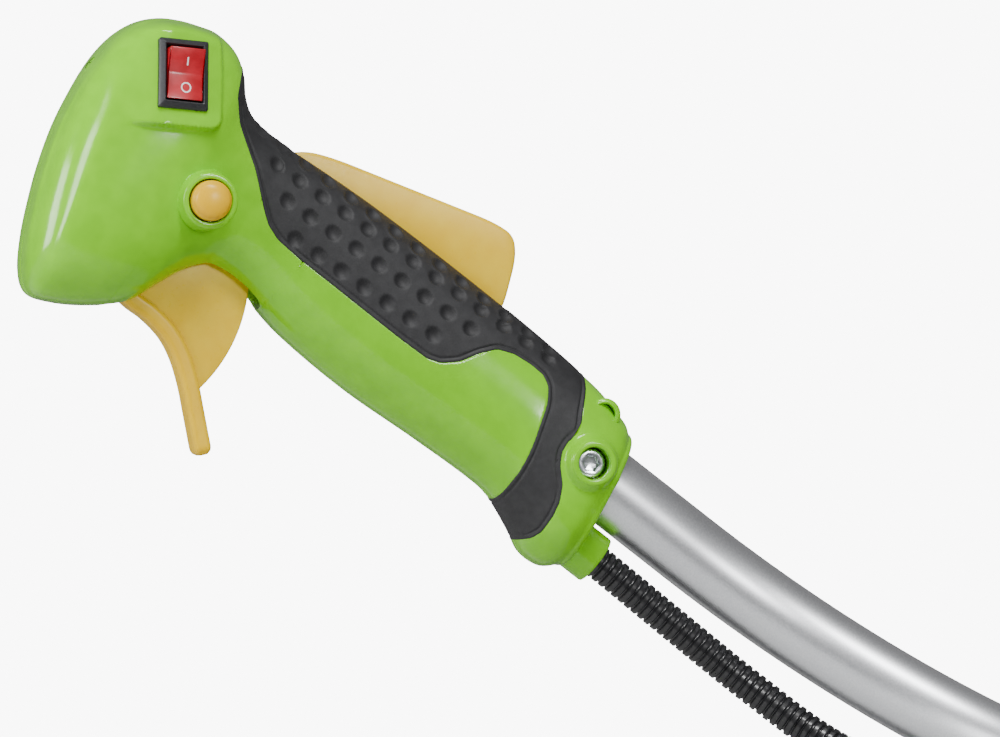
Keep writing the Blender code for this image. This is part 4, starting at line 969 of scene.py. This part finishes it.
web_corners = [(-120.0, -14.0), (-133.0, -19.0), (-144.0, -28.0), (-146.0, -41.0), (-136.0, -44.2),
               (-121.4, -44.8), (-114.0, -47.8), (-106.5, -53.0), (-104.4, -53.2)]
web = np.vstack((arc_points(TRIGGER_PIVOT, TRIGGER_EDGE, -10, 38, 40), web_corners))
arm_up = unit(ANCHOR - TRIGGER_PIVOT)
arm_across = np.array((arm_up[2], 0, -arm_up[0]))
arm_corners = [(TRIGGER_PIVOT + arm_up * a + arm_across * b)[[0, 2]] for a, b in
               ((8, -4), (8, 4), (36, 5), (40, 2.5), (40, -2.5), (36, -5))]
hub = lathe([(0.01, -6.0), (2.3, -6.0), (5.6, -6.0), (6.0, -5.6), (6.0, 5.6), (5.6, 6.0), (0.01, 6.0)],
            TRIGGER_PIVOT, (0, 1, 0), 40)
make_piece("trigger_moulding", [blade(), hub, slab(rounded_outline(arm_corners, 1.5), 4.4, 12.0, 0.5)], AMBER,
           "trigger", ("trigger",), sharp=50)
make_piece("trigger_web", [slab(web, -4.2, 4.2, 0.5)], PALE_AMBER, "trigger", sharp=50)

# %% [markdown]
# The safety lever is a thin-walled moulding that rises out of the top of the grip. It pivots near the head
# and the palm presses it flush. Its long top edge is straight, with a round heel at the bar end.

# %% Safety lever
LEVER_OUTLINE = [(-124.4, 13.0), (-124.2, 19.4), (-119.6, 23.0), (-112.0, 26.0), (-64.5, 39.8), (-57.2, 40.5),
                 (-52.6, 35.6), (-46.8, 21.7), (-46.5, 13.0), (-90.0, 11.6), (-117.0, 10.8)]
lever = slab(rounded_outline(LEVER_OUTLINE, 5.0, 9), -4.8, 4.8, 1.1)
make_piece("safety_lever_moulding", [lever], PALE_AMBER, "safety_lever", ("safety_lever",),
           sharp=50)

# %% [markdown]
# The push button is a short dome on a stem, turned about the line it slides along. The dome is a quarter of
# an ellipse, so it meets the button's side without a sharp edge.

# %% Lock button
def dome_profile(radius, height, count=10):
    """Quarter ellipse from the middle of a dome out to its rim."""
    turn = np.linspace(0, np.pi / 2, count)
    return [(radius * math.sin(a) + 0.001, height * (1 - math.cos(a))) for a in turn]


button = [*dome_profile(5.2, 1.8), (5.6, 2.1), (5.85, 2.7), (5.9, 3.4), (5.9, 11.0), (2.5, 11.0), (2.5, 22.3),
          (0.001, 22.3)]
make_piece("lock_button_moulding", [lathe(button, (BUTTON[0], -31.5, BUTTON[1]), (0, 1, 0), 64)], ORANGE,
           "lock_button", ("lock_button",), sharp=40)

# %% [markdown]
# The rocker switch is a standard panel switch: a bevelled bezel round a red rocker whose pressed half lies
# in the bezel and whose other half stands proud. The bezel is a stack of rounded rectangles, like a lathe's
# profile with corners, and the rocker is a slab. Its I and O marks are the usual signs, printed in white.

# %% Rocker switch
SWITCH_TURN = np.column_stack((SWITCH_SHORT, np.cross(SWITCH_NORMAL, SWITCH_SHORT), SWITCH_NORMAL))


def on_switch(points):
    """Switch's own axes (across, along, out) to the handle's."""
    return SWITCH_CENTRE + np.asarray(points) @ SWITCH_TURN.T


def rectangle_ring(half_x, half_y, corner, height, per_corner=8):
    """One ring of points round a rounded rectangle at a height."""
    corner = max(corner, 0.05)
    points = []
    for quarter, (sx, sy) in enumerate(((1, 1), (-1, 1), (-1, -1), (1, -1))):
        turn = np.linspace(quarter * np.pi / 2, (quarter + 1) * np.pi / 2, per_corner)
        points.append(np.column_stack((sx * (half_x - corner) + corner * np.cos(turn),
                                       sy * (half_y - corner) + corner * np.sin(turn),
                                       np.full(per_corner, height))))
    return np.vstack(points)


# rows (half width, half length, corner radius, height): pocket floor, pocket wall, bevelled frame, body
SWITCH_ROWS = [(0.1, 0.1, 0.05, -7.5), (5.6, 8.5, 0.3, -7.5), (5.6, 8.5, 0.3, 1.6), (5.75, 8.65, 0.3, 1.95),
               (6.0, 8.9, 0.4, 2.05), (7.1, 10.1, 0.6, 1.25), (7.4, 10.4, 0.7, 0.95), (7.5, 10.5, 0.7, 0.75),
               (7.5, 10.5, 0.7, -1.2), (6.45, 9.5, 0.4, -1.3), (6.45, 9.5, 0.4, -14.0), (0.1, 0.1, 0.05, -14.0)]
switch_points, switch_quads = sheet_of(np.stack([rectangle_ring(*row) for row in SWITCH_ROWS]),
                                       wrap_columns=True)
make_piece("switch_bezel", [(on_switch(switch_points), switch_quads)], NYLON, "root",
           ("switch_housing",), sharp=24)

ROCKER_AXLE, ROCKER_TILT = 0.6, np.radians(12.0)


def on_rocker(points):
    """Rocker's own axes, turned by its rest tilt about its axle, to the handle's."""
    points = np.asarray(points, float)
    y = points[:, 1] * np.cos(ROCKER_TILT) - points[:, 2] * np.sin(ROCKER_TILT)
    z = points[:, 1] * np.sin(ROCKER_TILT) + points[:, 2] * np.cos(ROCKER_TILT)
    return on_switch(np.column_stack((points[:, 0], y, z + ROCKER_AXLE)))


ROCKER_TOP = [(-7.6, 3.2), (-3.8, 2.45), (0.0, 1.9), (3.8, 2.45), (7.6, 3.2)]
rocker_outline = [(-7.0, -3.2), *ROCKER_TOP, (7.0, -3.2)]
rocker_points, rocker_faces = slab(rounded_outline(rocker_outline, 0.45, 4), -5.3, 5.3, 0.35, 4)
make_piece("rocker_moulding", [(on_rocker(rocker_points[:, [1, 0, 2]]), rocker_faces)], RED, "rocker",
           ("rocker",), sharp=40)


def rocker_height(along):
    """Height of the print above the rocker's axle: the top's outline plus a thin film."""
    top = np.array(ROCKER_TOP)
    return np.interp(along, top[:, 0], top[:, 1]) + 0.03


def mark(rings):
    """Flat print on the rocker: its rings in across and along, lifted onto the curved top."""
    points = np.concatenate([np.column_stack((ring[:, 0], ring[:, 1], rocker_height(ring[:, 1])))
                             for ring in rings])
    count = len(rings[0])
    _, quads = sheet_of(points.reshape(len(rings), count, 3), wrap_columns=True)
    return on_rocker(points), quads


turn = np.linspace(0, 2 * np.pi, 40, endpoint=False)
circle = np.column_stack((np.cos(turn), np.sin(turn)))
o_mark = mark([circle * 1.55 + (0.25, -4.0), circle * 1.15 + (0.25, -4.0)])
bar_side = np.array([(-0.2, -1.2), (0.2, -1.2), (0.2, 1.2), (-0.2, 1.2)])
i_mark = mark([bar_side + (0.25, 3.6), bar_side * 0.02 + (0.25, 3.6)])
make_piece("switch_marks", [o_mark, i_mark], WHITE_PRINT, "rocker", sharp=40)

# %% [markdown]
# The clamp's screw is a zinc plated socket cap screw. Its head has a knurled rim, a small chamfer and a
# hexagonal socket: one grid whose radius is a circle, a ripple or a hexagon, depending on the row.

# %% Clamp screw and the tapping screws
def hexagon(angle, flat):
    """Radius of a hexagon with the distance flat from its middle to a side."""
    return flat / np.cos((angle + np.pi / 6) % (np.pi / 3) - np.pi / 6)


def socket_screw(centre_x, head_y, length):
    """Socket cap screw along y: rows run up the hexagonal socket, over the face and down the knurl."""
    angles = np.linspace(0, 2 * np.pi, 144, endpoint=False)
    ripple = 1 + 0.012 * np.sign(np.sin(36 * angles))
    six = hexagon(angles, 2.0)
    one = np.ones_like(angles)
    rows = [(0.01 * one, 2.6), (0.6 * six, 2.55), (six, 2.4), (six, 0.35), (six * 1.06, 0.12), (2.75 * one, 0.0),
            (3.55 * one, 0.0), (3.9 * one, 0.12), (4.15 * one, 0.45), (4.2 * ripple, 0.7), (4.2 * ripple, 4.2),
            (4.1 * one, 4.8), (2.6 * one, 4.8), (2.5 * one, length), (0.01 * one, length)]
    points = np.stack([np.column_stack((centre_x + radius * np.cos(angles), np.full(144, head_y + y),
                                        radius * np.sin(angles))) for radius, y in rows])
    return sheet_of(points, wrap_columns=True)


make_piece("clamp_socket_screw", [socket_screw(CLAMP[0], -17.5, 33.0)], ZINC, "root",
           ("clamp_screw",), sharp=28)


def half_width(x, z):
    """Half width of the plain skin over a point of the side view, from the nearest of many sections."""
    dense = np.linspace(0, LAST_RIB, 600)
    grid = section(dense, np.linspace(0, np.pi, 200)[None, :])
    return grid[..., 1].ravel()[np.argmin(np.hypot(grid[..., 0] - x, grid[..., 2] - z).ravel())]


def tapping_screw(x, z, seat):
    """Domed head with a cross recess: the recess is a smooth pit along two crossed bars."""
    angles = np.linspace(0, 2 * np.pi, 72, endpoint=False)
    radius = np.linspace(0.01, 3.4, 22)[:, None]
    across, along = radius * np.cos(angles), radius * np.sin(angles)
    bars = np.minimum(np.abs(across), np.abs(along))
    reach = np.maximum(np.abs(across), np.abs(along))
    pit = 1.5 * (1 - smoothstep(0.3, 0.5, bars)) * (1 - smoothstep(1.2, 2.1, reach))
    top = seat + 2.3 - 0.09 * radius ** 2 - pit
    face = np.stack((x + across, top, z + along), axis=-1)
    foot = np.stack([np.column_stack((x + r * np.cos(angles), np.full(72, y), z + r * np.sin(angles)))
                     for r, y in ((3.5, seat + 1.0), (3.4, seat), (1.7, seat), (1.7, -10.0), (0.01, -10.0))])
    return sheet_of(np.concatenate((face, foot)), wrap_columns=True)


for number, (x, z) in enumerate(SHELL_SCREWS, 1):
    seat = min(half_width(x, z) - 4.0, 13.0) + 0.3
    make_piece(f"tapping_screw_{number}", [tapping_screw(x, z, seat)], ZINC, "root",
               (f"shell_screw_{number}",), sharp=40)
make_piece("collar_tapping_screw", [tapping_screw(*COLLAR_SCREW, 9.8)], ZINC, "root",
           ("collar_screw",), sharp=40)

# %% [markdown]
# The bar is a drawn tube: a circle carried along the straight, the bend and the second straight, with an
# inner wall and square-cut ends whose edges are slightly broken.

# %% Handlebar tube
BROKEN_EDGE = 0.3


def bar_line(step=2.0):
    """Middle line of the bar: a straight, the bend's arc and the last straight."""
    bend = np.array([bar_frame(a)[0] for a in np.linspace(0, BEND_ANGLE, 60)])
    line = np.vstack(((BAR_START, 0, 0), bend, BAR_END))
    return even_line(line, step)


line, _ = bar_line()
outer = tube_rings(line, BAR_RADIUS, 96)
inner = tube_rings(line, BAR_RADIUS - BAR_WALL, 96)
broken = tube_rings(line, BAR_RADIUS - BROKEN_EDGE, 96)
tube = np.stack((broken[0], *outer, broken[-1], *inner[::-1]))
tube[1] += X_AXIS * BROKEN_EDGE
tube[len(outer)] -= TAIL_DIR * BROKEN_EDGE
make_piece("satin_bar", [sheet_of(tube, wrap_rows=True, wrap_columns=True)], ALUMINIUM, "root",
           ("handlebar_tube",), sharp=50)

# %% [markdown]
# The conduit is a corrugated tube that protects the throttle cable and the switch's leads. It leaves its boss
# parallel to the bar and is held by a clip near the bar's end, so it is taut and doesn't coil. Its radius is
# a rounded square wave along the line: broad ribs and narrow grooves 2.5 mm apart.

# %% Conduit
CONDUIT_RADIUS, RIB_PITCH, GROOVE = 5.0, 2.5, 0.75
CONDUIT_OFFSET, CLIP_AT, CONDUIT_END_AT = 17.5, 20.0, 34.0
CONDUIT_START, CABLE_BOSS_END = -5.0, 20.6
conduit_knots = [(CONDUIT_START, 0, CONDUIT_Z), (CABLE_BOSS_END, 0, CONDUIT_Z), (50, 0, -20.2),
                 (80, -1.0, -20.8), (108, -9.0, -20.6), (138, -29.5, -15.6),
                 *(tail_point(along, CONDUIT_OFFSET) for along in (4.0, CLIP_AT, CONDUIT_END_AT))]
conduit_line, conduit_at = even_line(smooth_line(conduit_knots, 2.0), RIB_PITCH / 10)
phase = (conduit_at / RIB_PITCH) % 1.0
wave = smoothstep(0.04, 0.17, phase) * (1 - smoothstep(0.75, 0.88, phase))
conduit_rings = tube_rings(conduit_line, CONDUIT_RADIUS - GROOVE * (1 - wave), 32)
conduit = make_piece("corrugated_conduit", [closed_tube(conduit_rings)], CONDUIT_PLASTIC, "root",
                     ("conduit",), sharp=60)

# %% [markdown]
# Past the clip the conduit ends in a ferrule. The throttle wire's adjuster, its lock nut and the wire with its
# nipple come out of the middle, and the switch's two leads beside it, each ending in a bullet terminal.

# %% Conduit's end
FERRULE_LENGTH, ADJUSTER_LENGTH, WIRE_TAIL_LENGTH = 10.0, 18.0, 19.0
ferrule_start = tail_point(CONDUIT_END_AT, CONDUIT_OFFSET) + TAIL_DIR * 0.3
ferrule = make_piece("conduit_end_ferrule", [lathe(
    [(0.01, 0.0), (5.5, 0.0), (5.8, 0.4), (5.8, 7.6), (6.0, 8.1), (6.2, 8.4), (6.2, 9.6), (5.9, 10.0),
     (0.01, 10.0)], ferrule_start, TAIL_DIR, 48,
    lambda angle, along: 1 + 0.03 * np.sign(np.sin(12 * angle)) * ((along > 1.5) & (along < 7)))],
    NYLON, "root", ("conduit_ferrule",), sharp=30)

end = tail_point(CONDUIT_END_AT, CONDUIT_OFFSET) + TAIL_DIR * FERRULE_LENGTH
adjuster_start = end + TAIL_DIR * 0.6
THREAD_PITCH, THREAD_DEPTH = 1.0, 0.1
thread_rows = np.linspace(0.6, ADJUSTER_LENGTH - 0.6, 130)
thread = [(0.01, 0.0), (2.5, 0.0), *((2.9, a) for a in thread_rows), (2.5, ADJUSTER_LENGTH),
          (1.2, ADJUSTER_LENGTH), (1.2, 2.0), (0.01, 2.0)]


def thread_radius(angle, along):
    """Screw thread: a triangle wave along the axis that moves on by one pitch in a full turn."""
    wave = np.abs(((along / THREAD_PITCH + angle / (2 * np.pi)) % 1.0) * 2 - 1)
    return np.where((along > 0.5) & (along < ADJUSTER_LENGTH - 0.5), 1 - THREAD_DEPTH * wave, 1.0)


make_piece("threaded_adjuster", [lathe(thread, adjuster_start, TAIL_DIR, 40, thread_radius)], ZINC, "root",
           ("cable_adjuster",), sharp=30)
nut_at = adjuster_start + TAIL_DIR * 8.0


def hex_nut(start, direction, flat, height, bore):
    """Hexagonal nut with chamfered corners: the radius is the smaller of a hexagon and a cone."""
    def outline(angle, along):
        """Radius for each angle and row; the first and the last row are the bore."""
        radius = np.minimum(hexagon(angle, flat), flat * 1.1 + 1.2 * np.minimum(along, height - along))
        radius[[0, -1]] = bore
        return radius

    rows = [(1.0, along) for along in (0.0, 0.0, 0.35, height - 0.35, height, height)]
    return lathe(rows, start, direction, 72, outline)


make_piece("adjuster_lock_nut", [hex_nut(nut_at, TAIL_DIR, 4.7, 3.0, 3.2)], ZINC, "root",
           ("adjuster_nut",), sharp=30)
make_piece("clamp_lock_nut", [hex_nut((CLAMP[0], 12.7, 0), (0, 1, 0), 3.9, 4.0, 2.8)], ZINC, "root",
           ("clamp_nut",), sharp=30)
tip = adjuster_start + TAIL_DIR * (ADJUSTER_LENGTH + WIRE_TAIL_LENGTH)
wire_start = adjuster_start + TAIL_DIR * (ADJUSTER_LENGTH - 1.5)
wire_line, wire_at = even_line(np.stack((wire_start, tip - TAIL_DIR * 2.7)), 0.4)
make_piece("inner_wire_end", [closed_tube(tube_rings(wire_line, 0.75 - 0.08 * ((wire_at / 0.8) % 1 > 0.5), 16))],
           STEEL, "wire_end", ("throttle_wire_end",))
nipple = [(0.01, -2.8), (2.1, -2.8), (2.4, -2.5), (2.4, 2.5), (2.1, 2.8), (0.01, 2.8)]
make_piece("wire_nipple", [lathe(nipple, tip, TAIL_SIDE, 32)], ZINC, "wire_end",
           ("carburettor_nipple",))

LEAD_ROUTE = [(0.0, 4.9, 0.0), (8.0, 7.4, 0.8), (17.0, 10.0, 3.5), (26.0, 11.0, 8.5), (34.0, 11.0, 15.0)]
LEAD_FINISH = {1: (PVC_RED, "red_insulation"), 2: (PVC_BLACK, "black_plastic")}
for number, sign in ((1, -1.0), (2, 1.0)):
    knots = [end + TAIL_DIR * (0.6 + forward) + TAIL_SIDE * sign * aside + TAIL_DOWN * down
             for forward, aside, down in LEAD_ROUTE]
    lead_line, lead_at = even_line(smooth_line(knots, 1.0), 1.0)
    finish, slot = LEAD_FINISH[number]
    lead = make_piece(f"lead_{number}_insulation", [closed_tube(tube_rings(lead_line, 0.9, 20))], finish, "root",
                      (f"switch_lead_{number}",))
    direction = unit(knots[-1] - knots[-2])
    bullet = make_piece(f"lead_{number}_bullet", [lathe(
        [(0.01, 0.0), (1.8, 0.0), (2.1, 0.4), (2.1, 6.6), (1.4, 7.0), (1.4, 8.0), (1.9, 8.4), (1.9, 12.6),
         (1.2, 13.8), (0.01, 14.0)], lead_line[-1] + direction * 0.3, direction, 32)], BRASS, "root",
        (f"bullet_terminal_{number}",))
    print("lead", number, "length, m:", round(float(lead_at[-1]) * MM, 4))

# %% [markdown]
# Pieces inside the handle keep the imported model's meshes: their shapes are already right. Each takes the
# material of its slot.

# %% Materials of the carried-over nodes
slots = {row["node"]: row["material_slot"] for row in frame["record"]["subparts"]}
for name, item in frame["nodes"].items():
    if item.hide_render:
        continue
    item.data.materials.clear()
    item.data.materials.append(SLOT_MATERIALS[slots[name]])
print("carried over:", sorted(name for name, item in frame["nodes"].items() if not item.hide_render))

# %% [markdown]
# A pale floor well below the handle and large soft lights make the plain bright studio. Two tall boxes on the
# left draw the long highlights along the head, a wide one above lights the bar, a small one in front fills
# the side, and a low one lifts the undersides.

# %% Floor, lights and world
FLOOR_Z, FLOOR_RADIUS = -0.32, 0.6
bpy.ops.mesh.primitive_circle_add(vertices=96, radius=FLOOR_RADIUS, fill_type="NGON",
                                  location=(-0.2, 0.1, FLOOR_Z))
floor = bpy.context.object
floor.name = "floor"
floor_material, floor_tree, floor_shader = new_material("pale_floor")
colour_between(floor_tree, floor_shader, grain(floor_tree, 300.0), "F4F4F4", "F8F8F8")
floor_shader.inputs["Roughness"].default_value = 0.7
floor.data.materials.append(floor_material)


def softbox(name, place, size, power):
    """Area light at a place given in the camera's own right, up and towards directions, in metres."""
    right, up, towards = place
    data = bpy.data.lights.new(name, "AREA")
    data.shape, data.size, data.size_y, data.energy = "RECTANGLE", size[0], size[1], power
    light = bpy.data.objects.new(name, data)
    bpy.context.scene.collection.objects.link(light)
    middle = placed(LOOK_AT)
    spot = middle + view_right * right + view_up * up - view_dir * towards
    aim = Vector(spot - middle).to_track_quat("Z", "Y")
    light.matrix_world = Matrix.Translation(spot) @ aim.to_matrix().to_4x4()
    return light


softbox("left_box", (-1.3, 0.35, 0.75), (0.3, 1.0), 18.0)
softbox("side_box", (-1.35, 0.1, 0.05), (0.35, 0.9), 16.0)
softbox("top_box", (0.2, 1.4, 0.9), (1.0, 0.3), 28.0)
softbox("front_box", (0.75, 0.45, 1.7), (0.3, 0.4), 12.0)
softbox("low_box", (-0.3, -1.2, 0.9), (1.0, 0.25), 9.0)
# the room is dim so that the highlights stand out, and the wall behind the handle is burnt out
AMBIENT, BACKDROP = 0.2, 9.0
world = bpy.data.worlds.new("studio")
world.use_nodes = True
tree = world.node_tree
seen = node(tree, "ShaderNodeLightPath").outputs["Is Camera Ray"]
strength = node(tree, "ShaderNodeMapRange", Value=seen, To_Min=AMBIENT, To_Max=BACKDROP).outputs["Result"]
tree.nodes["Background"].inputs["Color"].default_value = (1.0, 1.0, 1.0, 1.0)
tree.links.new(strength, tree.nodes["Background"].inputs["Strength"])
bpy.context.scene.world = world
